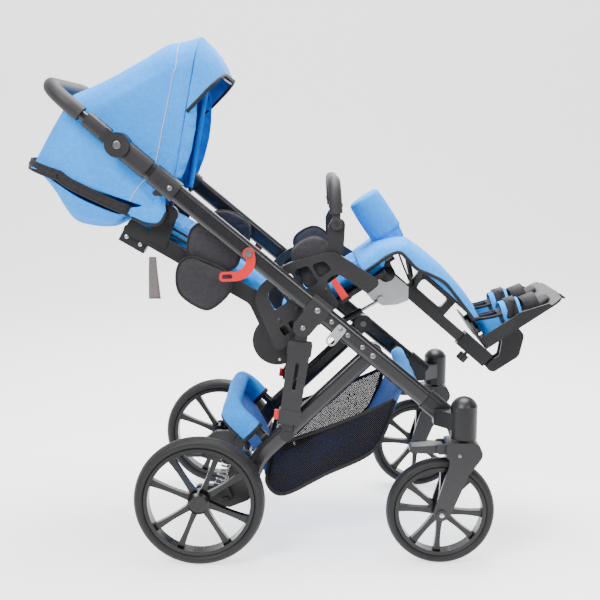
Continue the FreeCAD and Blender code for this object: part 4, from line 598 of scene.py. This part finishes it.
def bow_line(turn, reach, half=HOOD_HALF, start=HOOD_FOOT, corner=HOOD_ROUND, low_side=22):
    """Points along one bow, from its left foot over the top to its right foot."""
    c, s = math.cos(math.radians(turn)), math.sin(math.radians(turn))
    shape = [(start + (reach - corner - start) * k / low_side, half) for k in range(low_side)]
    for k in range(11):
        a = math.pi / 2 * k / 10
        shape.append((reach - corner + corner * math.sin(a), half - corner + corner * math.cos(a)))
    shape += [(reach, (half - corner) * (1 - k / 8)) for k in range(1, 9)]
    shape += [(r, -y) for r, y in reversed(shape[:-1])]
    return [hood(r * c, y, r * s) for r, y in shape]


def hood_rows():
    """Rows of the hood's cloth from the rear bow to the front one: slack sides, a sagging top, folds at the hinge."""
    rows = []
    for i, (steps, span_slack, span_sag) in enumerate(HOOD_SPANS):
        first, last = bow_line(*HOOD_BOWS[i]), bow_line(*HOOD_BOWS[i + 1])
        for k in range(steps + (i == len(HOOD_SPANS) - 1)):
            f = k / steps
            slack, sag = 4 * f * (1 - f) * span_slack, 4 * f * (1 - f) * span_sag
            loose = 3.0 * min(1, max(0, sag) / 3 + 0.2)
            row = []
            for p, q in zip(first, last):
                point = p.lerp(q, f)
                out = point - hood(0, 0, 0)
                on_side = abs(out.y) > SIDE_FROM
                sideways = Vector((0, math.copysign(1, out.y), 0))
                top = max(0.0, 1 - abs(out.y) / TOP_FADE)
                inward = Vector((out.x, 0, out.z)).normalized() * -sag * min(1, top * 3) / 1000
                bulge = sideways * (slack * 0.9 if on_side else 0) / 1000
                near = max(0.0, 1 - out.length / HINGE_FOLD_REACH) * on_side
                fold = sideways * near * HINGE_FOLDS * math.sin(0.9 * (i * 17 + k)) / 1000
                row.append(point + inward + bulge + fold + ruffle(point, 9, loose, 1.7))
            rows.append(row)
    return rows


def over_top(turn, reach, half, start):
    """The part of a bow that lies beyond the distance start from the hinge."""
    return bow_line(turn, reach, half, start, low_side=5)


def bow_out(turn, reach, half):
    """Outward direction on a bow: sideways on its legs, away from the hinge on its top."""
    along = (hood_mid(turn, 1000.0) - hood(0, 0, 0)).normalized()
    straight, flat = (reach - HOOD_ROUND) / 1000, (half - HOOD_ROUND) / 1000

    def out(p):
        r = (p - hood(0, 0, 0)).dot(along)
        aside = Vector((0, p.y - max(-flat, min(flat, p.y)), 0))
        return aside + along * max(0.0, r - straight)
    return out


def laid_on(cloth, line, out, stand):
    """Moves a line on to the outer face of a cloth, standing clear of it by that many millimetres."""
    tree = BVHTree.FromPolygons([v.co for v in cloth.data.vertices], [f.vertices for f in cloth.data.polygons])
    cast, laid = 0.06, []
    for p in line:
        n = out(p).normalized()
        hit = tree.ray_cast(p + n * cast, -n, 2 * cast)[0]
        laid.append((hit if hit is not None else p) + n * stand / 1000)
    return laid


def fold_cloth(made):
    """Bakes the cloth's placing into its mesh. The points where its rear would follow the backrest and its front the
    front bow are worked out, but the cloth is not tied to them.
    """
    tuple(hood_mid(CLOTH_TURN, CLOTH_REACH))
    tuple(hood_mid(FRONT_TURN, CLOTH_REACH))
    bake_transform(made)


def canopy():
    """The hood's shell and rear wall, then what is sewn to them."""
    shell = sheet("canopy_shell", hood_rows(), 2.0, "blue_cloth", "blue_lining", levels=1)
    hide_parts("canopy_hood")
    fold_cloth(shell)
    a, wall = math.radians(REAR_TURN - 1), []
    for k in range(10):
        r = WALL_FOOT + (WALL_TOP - WALL_FOOT) * k / 9
        wall.append([hood(r * math.cos(a), -WALL_HALF + 2 * WALL_HALF * j / 14, r * math.sin(a)) for j in range(15)])
    wall = sheet("canopy_rear_panel", wall, 2.0, "blue_cloth", "blue_lining")
    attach(wall, "backrest")
    canopy_tail()
    canopy_bands(shell)
    for hand, sign in HANDS:
        side_flap(hand, sign)
        front_gather(hand, sign)
    visor()


def canopy_tail():
    """Loose cloth behind the hood, gathered where it is drawn in below."""
    curve, rows = smooth_line([Vector((u, 0, v)) for u, v in TAIL_CURVE], 4), []
    last = len(curve) - 1
    for j in range(49):
        y = -TAIL_HALF + 2 * TAIL_HALF * j / 48
        share = (1 - abs(y / (TAIL_HALF + 2)) ** 3.4) ** 0.5
        row = []
        for k, c in enumerate(curve):
            low = 1 - k / last
            gather = 1 + (0.02 + 0.10 * low ** 2) * math.sin(y / 6.5 + 2.0 * math.sin(y / 41))
            wall = Vector((-44 - 18 * k / last, 0, c.z))
            q = wall.lerp(c, share * gather)
            row.append(hood(q.x, y, q.z))
        rows.append(row)
    tail = sheet("canopy_tail_cloth", rows, 1.6, "blue_cloth", "blue_lining", levels=1)
    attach(tail, "backrest")


def up_and_over(flank, top, half):
    """A line up the left side of the hood, over its top and down the right side."""
    return [hood(u, half, v) for u, v in flank] + top + [hood(u, -half, v) for u, v in reversed(flank)]


def canopy_bands(shell):
    """Ridged black band round the rear edge, and the silver seam over the side and top."""
    half = HOOD_HALF + 4.5
    line = up_and_over(ZIP_SIDE, over_top(REAR_TURN - 1.5, REAR_REACH + 7, half, 262), half)
    strip = sweep("canopy_zip_band", smooth_line(line, 3), ZIP_RIDGES, "black_webbing",
                  up=bow_out(REAR_TURN, REAR_REACH, half))
    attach(strip, "backrest")
    line = up_and_over(SIDE_SEAM, over_top(SEAM_TURN, SEAM_REACH, HOOD_HALF, 322), HOOD_HALF)
    line = laid_on(shell, smooth_line(line, 4), bow_out(SEAM_TURN, SEAM_REACH, HOOD_HALF), 0.6)
    fold_cloth(sweep("canopy_seam_piping", line, circle(1.2, 8), "silver_piping"))
    sleeve = bow_line(FRONT_TURN, BOW_REACH, BOW_HALF, BOW_FOOT)
    sleeve = sweep("canopy_bow_sleeve", sleeve, circle(6.8, 14), "blue_cloth")
    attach(sleeve, "canopy_front")


def side_flap(hand, sign):
    """Lower corner of the side cloth, hanging over the hinge with a bound edge."""
    top = smooth_line([hood(u, sign * 190, v) for u, v in FLAP_TOP], 5)
    low = smooth_line([hood(u, sign * 192, v) for u, v in FLAP_LOW], 5)
    rows = []
    for a, b in zip(top, low):
        row = []
        for k in range(8):
            p = a.lerp(b, k / 7)
            row.append(p + Vector((0, sign * 0.004 * math.sin(math.pi * k / 7), 0)) + ruffle(p, 30, 3.0, 5.0))
        rows.append(row)
    outer = rows if sign < 0 else rows[::-1]
    flap = sheet("canopy_side_flap_" + hand, outer, 1.8, "blue_cloth", "blue_lining", levels=1)
    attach(flap, "backrest")
    rim = [row[-1] for row in rows]
    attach(sweep("canopy_flap_binding_" + hand, rim, circle(3.6, 8), "black_webbing"), "backrest")


def front_gather(hand, sign):
    """Elastic edge of the side cloth in front of the bow, drawn up in small folds."""
    a = math.radians(FRONT_TURN)
    c, s = math.cos(a), math.sin(a)
    rows = []
    for i in range(61):
        f = i / 60
        r = GATHER_FOOT + GATHER_L * f
        width = GATHER_WIDTH * math.sin(math.pi * (0.12 + 0.80 * f)) ** 0.7
        row = []
        for k in range(6):
            d = width * k / 5
            wave = 3.6 * (k / 5) * math.sin(34 * f + 1.5 * math.sin(9 * f))
            row.append(hood(r * c + d * s, sign * (HOOD_HALF - 1 - 7 * (k / 5) ** 2 + wave), r * s - d * c))
        rows.append(row)
    gather = sheet("canopy_front_gather_" + hand, rows if sign > 0 else rows[::-1], 1.6, "blue_cloth", levels=1)
    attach(gather, "canopy_front")


def visor():
    """Cap brim along the front bow: deepest over the top, running out low on both sides, with a bound edge."""
    root = over_top(FRONT_TURN, FRONT_REACH + 1, HOOD_HALF + 0.8, BRIM_FOOT)
    a = math.radians(BRIM_TURN)
    out = hood(math.cos(a), 0, math.sin(a)) - hood(0, 0, 0)
    crown = hood(-math.sin(a), 0, math.cos(a)) - hood(0, 0, 0)
    along = (hood_mid(FRONT_TURN) - hood(0, 0, 0)).normalized()
    rows = []
    for i in range(11):
        f = i / 10
        row = []
        for p in root:
            r = (p - hood(0, 0, 0)).dot(along) * 1000
            share = (r - BRIM_FOOT) / (FRONT_REACH + 1 - BRIM_FOOT)
            move = out * (2.5 + BRIM_L * share) * f + crown * (6 * math.sin(math.pi * f) * share + 1.0)
            row.append(p + move + ruffle(p + move, 14, 2.4, 6.0) * f * (1 - f) * 4)
        rows.append(row)
    brim = sheet("canopy_visor", rows, 2.2, "blue_cloth", "blue_lining", levels=1)
    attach(brim, "canopy_front")
    rim = sweep("canopy_visor_binding", smooth_line(rows[-1], 2), circle(4.2, 10, 0.8), "black_webbing")
    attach(rim, "canopy_front")


# Cushions
HIP_PAD = ((132, 58), (138, 146), (180, 162), (219, 140), (225, 58))
TRUNK_PAD = ((122, 300), (160, 284), (178, 240), (170, 192), (108, 170), (72, 208), (70, 272))
WAIST_PAD = ((36, 284), (72, 276), (84, 236), (86, 178), (54, 154), (4, 166), (-16, 190), (-10, 252))
PAD_FILL, SIDE_PAD_VOXEL = 0.7, 4.0


def along_back(u, y, v):
    """The backrest's view for a cushion that lies along it, which is a mirrored one."""
    return back(v, y, u)


def channel_pad(name, view, size, crown, body, stands_for, cap, low, sewn_from, channels, reach, edge, stitch):
    """A cushion resting on the level low, with channels sewn across it and a line along each side."""
    pad = pillow(name, view, *size, "blue_cloth", crown)
    if view is along_back:
        pad.data.flip_normals()
    at = local(view)

    def seams(p):
        u, y, v = at(p)
        if v < sewn_from:
            return 0.0
        return sum(groove(u - k, *stitch) for k in channels) * (abs(y) < reach) + groove(abs(y) - edge, *stitch)
    stuffed(pad, cap, seams, hold=lambda p: view(at(p)[0], p.y * 1000, max(low, at(p)[2])))
    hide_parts(stands_for)
    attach(pad, body)


def cushions():
    """Seat, back and calf cushions, the black side pads and the knee drum."""
    channel_pad("seat_pad", seat, (22, 320, 144, 0.5, 44), 6.0, "seat", "seat_cushion",
                7, 0.4, 20, (80, 140, 200, 260), 100, 102, (5, 6))
    channel_pad("back_pad", along_back, (68, 438, 144, 57.5, 110), 6.0, "backrest", "back_cushion",
                8, 57.4, 78, (130, 195, 260, 325, 390), 98, 100, (5, 6))
    channel_pad("calf_cushion", leg, (8, 206, 136, 64.5, 82), 4.0, "leg_rest", "calf_pad",
                3, 64.3, 74, (60, 110, 160), 100, 103, (4, 5))
    for hand, sign in HANDS:
        side_pad("hip_pad_" + hand, seat, HIP_PAD, sign * 161, sign * 143, "seat")
        side_pad("trunk_pad_" + hand, back, TRUNK_PAD, sign * 166, sign * 181, "backrest")
        side_pad("waist_pad_" + hand, back, WAIST_PAD, sign * 183, sign * 197, "backrest")
    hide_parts("hip_pads")
    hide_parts("lateral_pads")
    abduction_drum()


def side_pad(name, at, corners, y0, y1, body):
    """A filled black pad with piping sewn round its outer face."""
    pad = slab(name, at, corners, y0, y1, "black_cloth", 5.0)
    stuffed(pad, 4, voxel=SIDE_PAD_VOXEL)
    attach(pad, body)
    edge = y0 + (y1 - y0) * 0.8
    line = smooth_line([at(u, edge, v) for u, v in corners], 6, True)
    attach(sweep(name + "_piping", line, circle(2.4, 8), "black_webbing", True), body)


DRUM_AT, DRUM_R, DRUM_LOW, DRUM_TOP, DRUM_EDGE = 352.5, 40.0, 50.0, 159.0, 9.0


def drum_ring(n, r, count, gather):
    """One level of the drum in the seat's view: a soft square, rippled where the cloth is gathered."""
    ring = []
    for k in range(count):
        a = 2 * math.pi * k / count
        c, s = math.cos(a), math.sin(a)
        q = r * (1 + gather * math.sin(13 * a + 1.7 * math.sin(3 * a)))
        ring.append(seat(DRUM_AT + q * math.copysign(abs(c) ** 0.8, c), q * math.copysign(abs(s) ** 0.8, s), n))
    return ring


def abduction_drum():
    """Drum that keeps the knees apart: crisp upper rim, full sides, gathered at the seat."""
    count, rows = 72, []
    for k in range(5):
        a = math.pi / 2 * k / 4
        rows.append((DRUM_TOP - DRUM_EDGE + DRUM_EDGE * math.cos(a), DRUM_R - DRUM_EDGE + DRUM_EDGE * math.sin(a)))
    rows = [(DRUM_TOP + 2.5, 1.0), (DRUM_TOP + 2.2, 14.0), (DRUM_TOP + 1.2, 24.0)] + rows
    for k in range(1, 13):
        f = k / 12
        rows.append((DRUM_TOP - DRUM_EDGE - (DRUM_TOP - DRUM_EDGE - DRUM_LOW - 6) * f,
                     DRUM_R + 1.6 * math.sin(math.pi * f)))
    rows += [(DRUM_LOW + 2, DRUM_R - 3), (DRUM_LOW, DRUM_R - 9), (DRUM_LOW, 10.0)]
    rings = []
    for n, r in rows:
        low = max(0.0, 1 - (n - DRUM_LOW) / 34)
        rings.append(drum_ring(n, r, count, 0.035 * low))
    faces = grid_faces(len(rings), count, False, True)
    faces += [tuple(range(count))[::-1], tuple((len(rings) - 1) * count + k for k in range(count))]
    drum = piece("abduction_cushion", [p for ring in rings for p in ring], faces, "blue_cloth")
    face_outwards(drum)
    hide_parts("abduction_block")
    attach(drum, "seat")
    rows = []
    for k in range(8):
        f = k / 7
        ring = drum_ring(DRUM_LOW + 6 - 30 * f, DRUM_R - 5 - 6 * f, 60, 0.02 + 0.09 * f)
        rows.append(ring + [ring[0].copy()])
    skirt = sheet("abduction_skirt", rows, 1.6, "blue_cloth")
    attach(skirt, "seat")


COVER_STATIONS = (  # a view, then the cover's hem and crown in it
    (seat, (256, 20), (258, 49)), (seat, (290, 20), (292, 49)), (seat, (326, 21), (324, 48)),
    (leg, (-30, 62), (-36, 84)), (leg, (-4, 62), (-14, 90)), (leg, (28, 60), (18, 94)),
    (leg, (60, 70), (58, 96)), (leg, (96, 78), (104, 94)), (leg, (136, 72), (150, 88)),
    (leg, (176, 64), (190, 79)), (leg, (206, 58), (217, 68)),
)
COVER_HALF = 143.0


def knee_cloth():
    """Cover that runs on from the seat over the knee and the calf pad, with a black bound edge."""
    low = smooth_line([at(u, 0, v) for at, (u, v), _ in COVER_STATIONS], 5)
    high = smooth_line([at(u, 0, v) for at, _, (u, v) in COVER_STATIONS], 5)
    rows = []
    for a, b in zip(low, high):
        row = []
        for k in range(37):
            w = -1 + k / 18
            lift = (1 - abs(w) ** 7) ** 0.45
            crown = (b - a).normalized() * 0.004 * (1 - w * w)
            p = a.lerp(b, lift) + crown + Vector((0, w * COVER_HALF / 1000, 0))
            row.append(p + ruffle(p, 16, 2.6, 4.0) * lift)
        rows.append(row)
    cover = sheet("knee_cover", rows, 2.0, "blue_cloth", levels=1)
    over_knee(cover)
    rim = [row[0] for row in rows] + rows[-1][1:-1] + [row[-1] for row in reversed(rows)]
    over_knee(sweep("knee_cover_binding", rim, circle(4.2, 8), "black_webbing"))


def over_knee(made):
    """Bakes the cloth's placing into its mesh. The points at the knee, between the seat and the leg rest, are worked
    out, but the cloth is not bent there.
    """
    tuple(seat(312, 0, 40))
    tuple(leg(24, 0, 90))
    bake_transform(made)


# Basket: a blue sling from the rear bar to the front cross tube, with mesh sides
SLING = ((60, 316), (104, 258), (138, 196), (152, 150), (190, 127),
         (290, 177), (392, 227), (432, 288), (456, 345), (472, 386))
SLING_HALF, SLING_SAG = 0.171, 9
MESH_LOW = ((166, 236), (156, 196), (152, 152), (190, 127), (290, 177), (392, 227), (430, 287), (450, 357))
MESH_TOP = ((168, 240), (176, 247), (196, 256), (224, 266), (290, 290), (360, 318), (410, 340), (450, 358))


MESH_LOW_Y, MESH_TOP_Y, MESH_BULGE = 173, 174, 0.008
LOOP_AT, LOOP_R = (485.2, 400.7), 17.5
BAR_AT, BAR_ALONG, BAR_HALF, BAR_REACH, BAR_ROUND = (146, 266), (-0.726, 0.688), 171.0, 104.7, 45
BAR_REAR = (70, 338)
WRAP_R, WRAP_HANG = 18, 0.040
WRAP_FLAP = ((-15, -20), (-9, -32), (-4, -40), (4, -40), (9, -32), (15, -20))


def across_fold(made):
    """Bakes the basket cloth's placing into its mesh. The points where the rear frame folds under the chassis are
    worked out, but the cloth is not bent there.
    """
    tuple(side(485, 0, 402))
    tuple(side(330, 0, 330))
    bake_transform(made)


def mesh_line(points, y):
    return smooth_line([side(x, y, z) for x, z in points], 6)


def basket():
    """The blue sling, its net sides with their hems, and the loop round the front cross tube."""
    spine = mesh_line(SLING, 0)
    rows = []
    for k, p in enumerate(spine):
        sag = SLING_SAG * math.sin(math.pi * k / (len(spine) - 1))
        row = []
        for j in range(25):
            w = -1 + j / 12
            q = Vector((p.x, SLING_HALF * w, p.z - sag / 1000 * (1 - w * w)))
            row.append(q + ruffle(q, 13, 5.0, 8.0) * (1 - w ** 8))
        rows.append(row)
    sling = sheet("basket_sling", rows, 1.8, "blue_cloth", "blue_lining", levels=1)
    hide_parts("basket")
    across_fold(sling)
    for hand, sign in HANDS:
        low, top = mesh_line(MESH_LOW, sign * MESH_LOW_Y), mesh_line(MESH_TOP, sign * MESH_TOP_Y)
        rows = []
        for p, q in zip(low, top):
            row = [p.lerp(q, t / 9) for t in range(10)]
            out = Vector((0, sign * MESH_BULGE, 0))
            rows.append([c + (out + ruffle(c, 20, 2.0, 3.0)) * math.sin(math.pi * t / 9) for t, c in enumerate(row)])
        net = sheet("basket_mesh_" + hand, rows, 0.8, "black_mesh")
        across_fold(net)
        out = Vector((0, sign, 0))
        across_fold(sweep("basket_hem_" + hand, low, band(11, 3.6), "black_webbing", up=out))
        top = [p + Vector((0, sign * 0.001, 0)) for p in top]
        across_fold(sweep("basket_top_hem_" + hand, top, band(9, 3.2), "black_webbing", up=out))
    line = [side(LOOP_AT[0], y, LOOP_AT[1]) for y in range(-150, 151, 25)]
    loop = sweep("basket_front_loop", line, circle(LOOP_R, 18), "blue_cloth")
    for v in loop.data.vertices:
        v.co += ruffle(v.co, 24, 2.5, 6.0)
    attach(loop, "chassis")
    rear_wrap()


def rear_wrap():
    """Padded cloth folded over the rear bar, its bound flap hanging behind, with a cuff at each end."""
    ux, uz = BAR_ALONG
    up, hang = Vector((uz, 0, -ux)), Vector((-uz, 0, ux)) * WRAP_HANG

    def bar(d, y):
        return side(BAR_AT[0] + ux * d, y, BAR_AT[1] + uz * d)
    path = [bar(d, BAR_HALF) for d in (30, 45)]
    for k in range(9):
        a = math.pi / 2 * k / 8
        d = BAR_REACH - BAR_ROUND + BAR_ROUND * math.sin(a)
        path.append(bar(d, BAR_HALF - BAR_ROUND + BAR_ROUND * math.cos(a)))
    path += [side(BAR_REAR[0], y, BAR_REAR[1]) for y in (84, 42, 0)]
    path += [Vector((p.x, -p.y, p.z)) for p in reversed(path[:-1])]
    line = smooth_line(path, 4)
    turns = [math.radians(a) for a in range(-20, 201, 20)]
    fold = [(WRAP_R * math.cos(a), WRAP_R * math.sin(a)) for a in turns] + list(WRAP_FLAP)
    wrap = sweep("rear_bar_wrap", line, fold, "blue_cloth", up=up)
    for v in wrap.data.vertices:
        v.co += ruffle(v.co, 22, 4.0, 2.0)
    wrap.modifiers.new("smooth", "SUBSURF").levels = 1
    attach(wrap, "rear_frame")
    rim = sweep("rear_bar_binding", [p + hang for p in line], circle(4.6, 8), "black_webbing")
    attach(rim, "rear_frame")
    cuff = [(x * 1.06, h * 1.04) for x, h in fold]
    for hand, end, inner in (("left", line[0], line[1]), ("right", line[-1], line[-2])):
        out = (end - inner).normalized()
        ends = [end + out * d / 1000 for d in (-5, 0, 5)]
        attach(sweep("rear_bar_cuff_" + hand, ends, cuff, "black_webbing", up=up), "rear_frame")


# Foot rest: sandals with straps, and webbing
SOLE = ((18, 0), (22, 26), (60, 33), (110, 36), (150, 40), (188, 30),
        (200, 6), (192, -22), (160, -36), (110, -33), (60, -31), (24, -24))
SOLE_RINGS = ((0, 0.02), (0, 0.94), (2, 1.0), (7, 1.0), (10, 0.95), (10.5, 0.4), (10, 0.02))  # height, share
WALL_SIDE = ((126, 35), (104, 36), (80, 35), (58, 33.5), (40, 31), (28, 25), (21, 13), (19, 0))
WALL_HEIGHT = ((0, 50), (30, 48), (60, 36), (110, 21), (126, 5))
SOLE_AT, SOLE_MID, SANDAL_Y = 85.3, 108, 75
SANDAL_STRAPS = (  # place, width, rise, lean, cloth
    (76, 18, 38, 6, "black_webbing"), (98, 46, 46, 14, "blue_cloth"),
    (102, 26, 50, 14, "black_webbing"), (150, 36, 31, 6, "black_webbing"),
)


def sandals():
    """Padded sandals on the foot plate: sole, blue wall round the heel, and straps over the foot."""
    z = SOLE_AT
    for hand, sign in HANDS:
        y0 = sign * SANDAL_Y
        line = smooth_line([Vector((u, 0, w)) for u, w in SOLE], 5, True)
        rows = [[foot(SOLE_MID + (p.x - SOLE_MID) * k, y0 + p.z * k, z + h) for p in line] for h, k in SOLE_RINGS]
        faces = grid_faces(len(rows), len(line), False, True)
        sole = piece("sandal_sole_" + hand, [p for row in rows for p in row], faces, "black_cloth")
        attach(sole, "foot_plate")
        half = [Vector((u, 0, w)) for u, w in WALL_SIDE]
        line = smooth_line(half + [Vector((p.x, 0, -p.z)) for p in reversed(half[:-1])], 4)
        tall = [float(np.interp(p.x, *zip(*WALL_HEIGHT))) for p in line]
        rows = []
        for i in range(9):
            f = i / 8
            rows.append([foot(p.x, y0 + p.z * (1 - 0.08 * f), z + 6 + f * h) for p, h in zip(line, tall)])
        wall = sheet("sandal_wall_" + hand, rows, 4.5, "blue_cloth", "black_cloth", levels=1)
        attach(wall, "foot_plate")
        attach(sweep("sandal_binding_" + hand, rows[-1], circle(3.4, 8), "black_webbing"), "foot_plate")
        for k, (u, width, rise, lean, cloth) in enumerate(SANDAL_STRAPS):
            line = []
            for a in range(0, 181, 10):
                c, s = math.cos(math.radians(a)), abs(math.sin(math.radians(a)))
                y = y0 + 38.5 * math.copysign(abs(c) ** 0.7, c)
                line.append(foot(u + lean * s, y, z + 3 + rise * s ** 0.7))
            heart = foot(u, y0, z + 3)
            strap = sweep("sandal_strap_%s_%d" % (hand, k), line, band(width, 4.0), cloth,
                          up=lambda p, heart=heart: p - heart)
            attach(strap, "foot_plate")
        tab = smooth_line([foot(92 + 9 * k, y0 - 39.5 + 1.2 * k * k, z + 18 + 11 * k) for k in range(4)], 4)
        tab = sweep("sandal_tab_" + hand, tab, band(17, 3.4), "black_webbing", up=Vector((0, -1, 0)))
        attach(tab, "foot_plate")
    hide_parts("foot_cups")


def plate(name, at, corners, y0, y1, made_of, body):
    """A flat plate of that side outline between two widths."""
    n = len(corners)
    points = [at(u, y, v) for y in (y0, y1) for u, v in corners]
    faces = grid_faces(2, n, False, True) + [tuple(range(n))[::-1], tuple(range(n, 2 * n))]
    made = piece(name, points, faces, made_of)
    face_outwards(made)
    made.data.shade_flat()
    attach(made, body)


def disc(name, at, u, v, y, r, thick, made_of, body):
    """A flat round fitting on the side of a part, its edge rounded, standing out from y."""
    out, count = math.copysign(1, y), 24
    points = []
    for q, h in ((r, 0.0), (r, thick * 0.7), (r * 0.86, thick), (r * 0.05, thick)):
        for k in range(count):
            a = math.pi * k / 12
            points.append(at(u + q * math.cos(a), y + out * h, v + q * math.sin(a)))
    faces = grid_faces(4, count, False, True) + [tuple(3 * count + k for k in range(count))]
    made = piece(name, points, faces, made_of)
    face_outwards(made)
    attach(made, body)


SPRING_Y, SPRING_R, SPRING_L, SPRING_WIRE = 231.9, 11.0, 56.0, 1.7
SPRING_TURNS, SPRING_STEPS, SPRING_FLAT = 6, 24, 0.1  # flat: share of the coil that lies closed at each end


def springs():
    """Coil springs of the rear wheels, at one fixed length; their end points are worked out, but they are not made to
    shorten as the wheel arms swing.
    """
    at, steps = view_at(42, 171, -18), SPRING_STEPS * SPRING_TURNS
    axis = at(0, 0, 1) - at(0, 0, 0)
    for hand, sign in HANDS:
        line = []
        for k in range(steps + 1):
            turn = 2 * math.pi * k / SPRING_STEPS
            rise = min(max((k / steps - SPRING_FLAT) / (1 - 2 * SPRING_FLAT), 0), 1)
            line.append(at(SPRING_R * math.cos(turn), sign * SPRING_Y + SPRING_R * math.sin(turn),
                           SPRING_WIRE + rise * (SPRING_L - 2 * SPRING_WIRE)))
        coil = sweep("coil_spring_" + hand, line, circle(SPRING_WIRE, 8), "zinc_plate", up=axis)
        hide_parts("swing_spring_" + hand)
        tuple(at(0, sign * SPRING_Y, SPRING_L - 4))
        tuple(at(0, sign * SPRING_Y, 4))
        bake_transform(coil)


SECTOR = ((-18, 8), (-14, -40), (-8, -68), (14, -74), (44, -66), (68, -42), (82, -16), (60, 10))
CALF_STRAPS = (((-10, 62), (62, 19), 9), ((36, 60), (74, 16), 12))  # top, foot, width
CALF_STRAP_Y = (141, 84, 15)
BACK_STRAPS, BACK_STRAP_LINE = (78, 92, 106), (284, 304, 324, 344, 362)
KNEE = (300, -32)


def straps():
    """Webbing of the leg rest and backrest, the hanging tag, and bolt heads."""
    down = leg(0, 0, 1) - leg(0, 0, 0)
    for hand, sign in HANDS:
        outer, middle, inner = (sign * y for y in CALF_STRAP_Y)
        for k, (top, low, width) in enumerate(CALF_STRAPS):
            line = smooth_line([leg(top[0], outer, top[1]), leg((top[0] + low[0]) / 2, middle, 40),
                                leg(low[0], inner, low[1])], 6)
            strap = sweep("calf_strap_%s_%d" % (hand, k), line, band(width, 1.8), "black_webbing", up=down)
            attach(strap, "leg_rest")
        for k, m in enumerate(BACK_STRAPS):
            line = [back(m, sign * 148.5, b) for b in BACK_STRAP_LINE]
            strap = sweep("back_strap_%s_%d" % (hand, k), line, band(6, 2.2), "black_webbing",
                          up=Vector((0, sign, 0)))
            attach(strap, "backrest")
        for k, (m, b) in enumerate(((36, 424), (36, 388))):
            disc("rail_bolt_%s_%d" % (hand, k), back, m, b, sign * 150.2, 5.0, 2.0, "zinc_plate", "backrest")
        for k, (m, b) in enumerate(((-36, -28), (-18, -46))):
            disc("recline_rivet_%s_%d" % (hand, k), back, m, b, sign * 161.2, 3.6, 1.6, "zinc_plate", "backrest")
        caster = "caster_" + hand
        disc("caster_axle_bolt_" + hand, side, 550, 124, sign * 308.2, 5.5, 2.4, "zinc_plate", caster)
        disc("caster_fork_bolt_" + hand, side, 588, 262, sign * 304.2, 4.2, 1.8, "dull_steel", caster)
        disc("knee_boss_" + hand, seat, *KNEE, sign * 28.3, 17.0, 5.0, "black_moulding", "seat")
        disc("knee_bolt_" + hand, seat, *KNEE, sign * 33.4, 7.0, 2.0, "grey_moulding", "seat")
    plate("knee_sector_facing", leg, SECTOR, -19.55, -19.75, "zinc_plate", "leg_rest")
    rows = []
    for k in range(9):
        f = k / 8
        x, y, half = -111 + 3 * f, -176 - 3 * math.sin(4 * f), 8.5 + 5.5 * f
        rows.append([side(x + w * half, y - w * w, 696 - 98 * f) for w in (-1, -0.4, 0.4, 1)])
    tag = sheet("hanging_tag", rows, 1.0, "grey_webbing")
    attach(tag, "backrest")


studio()
canopy()
cushions()
knee_cloth()
basket()
sandals()
springs()
straps()
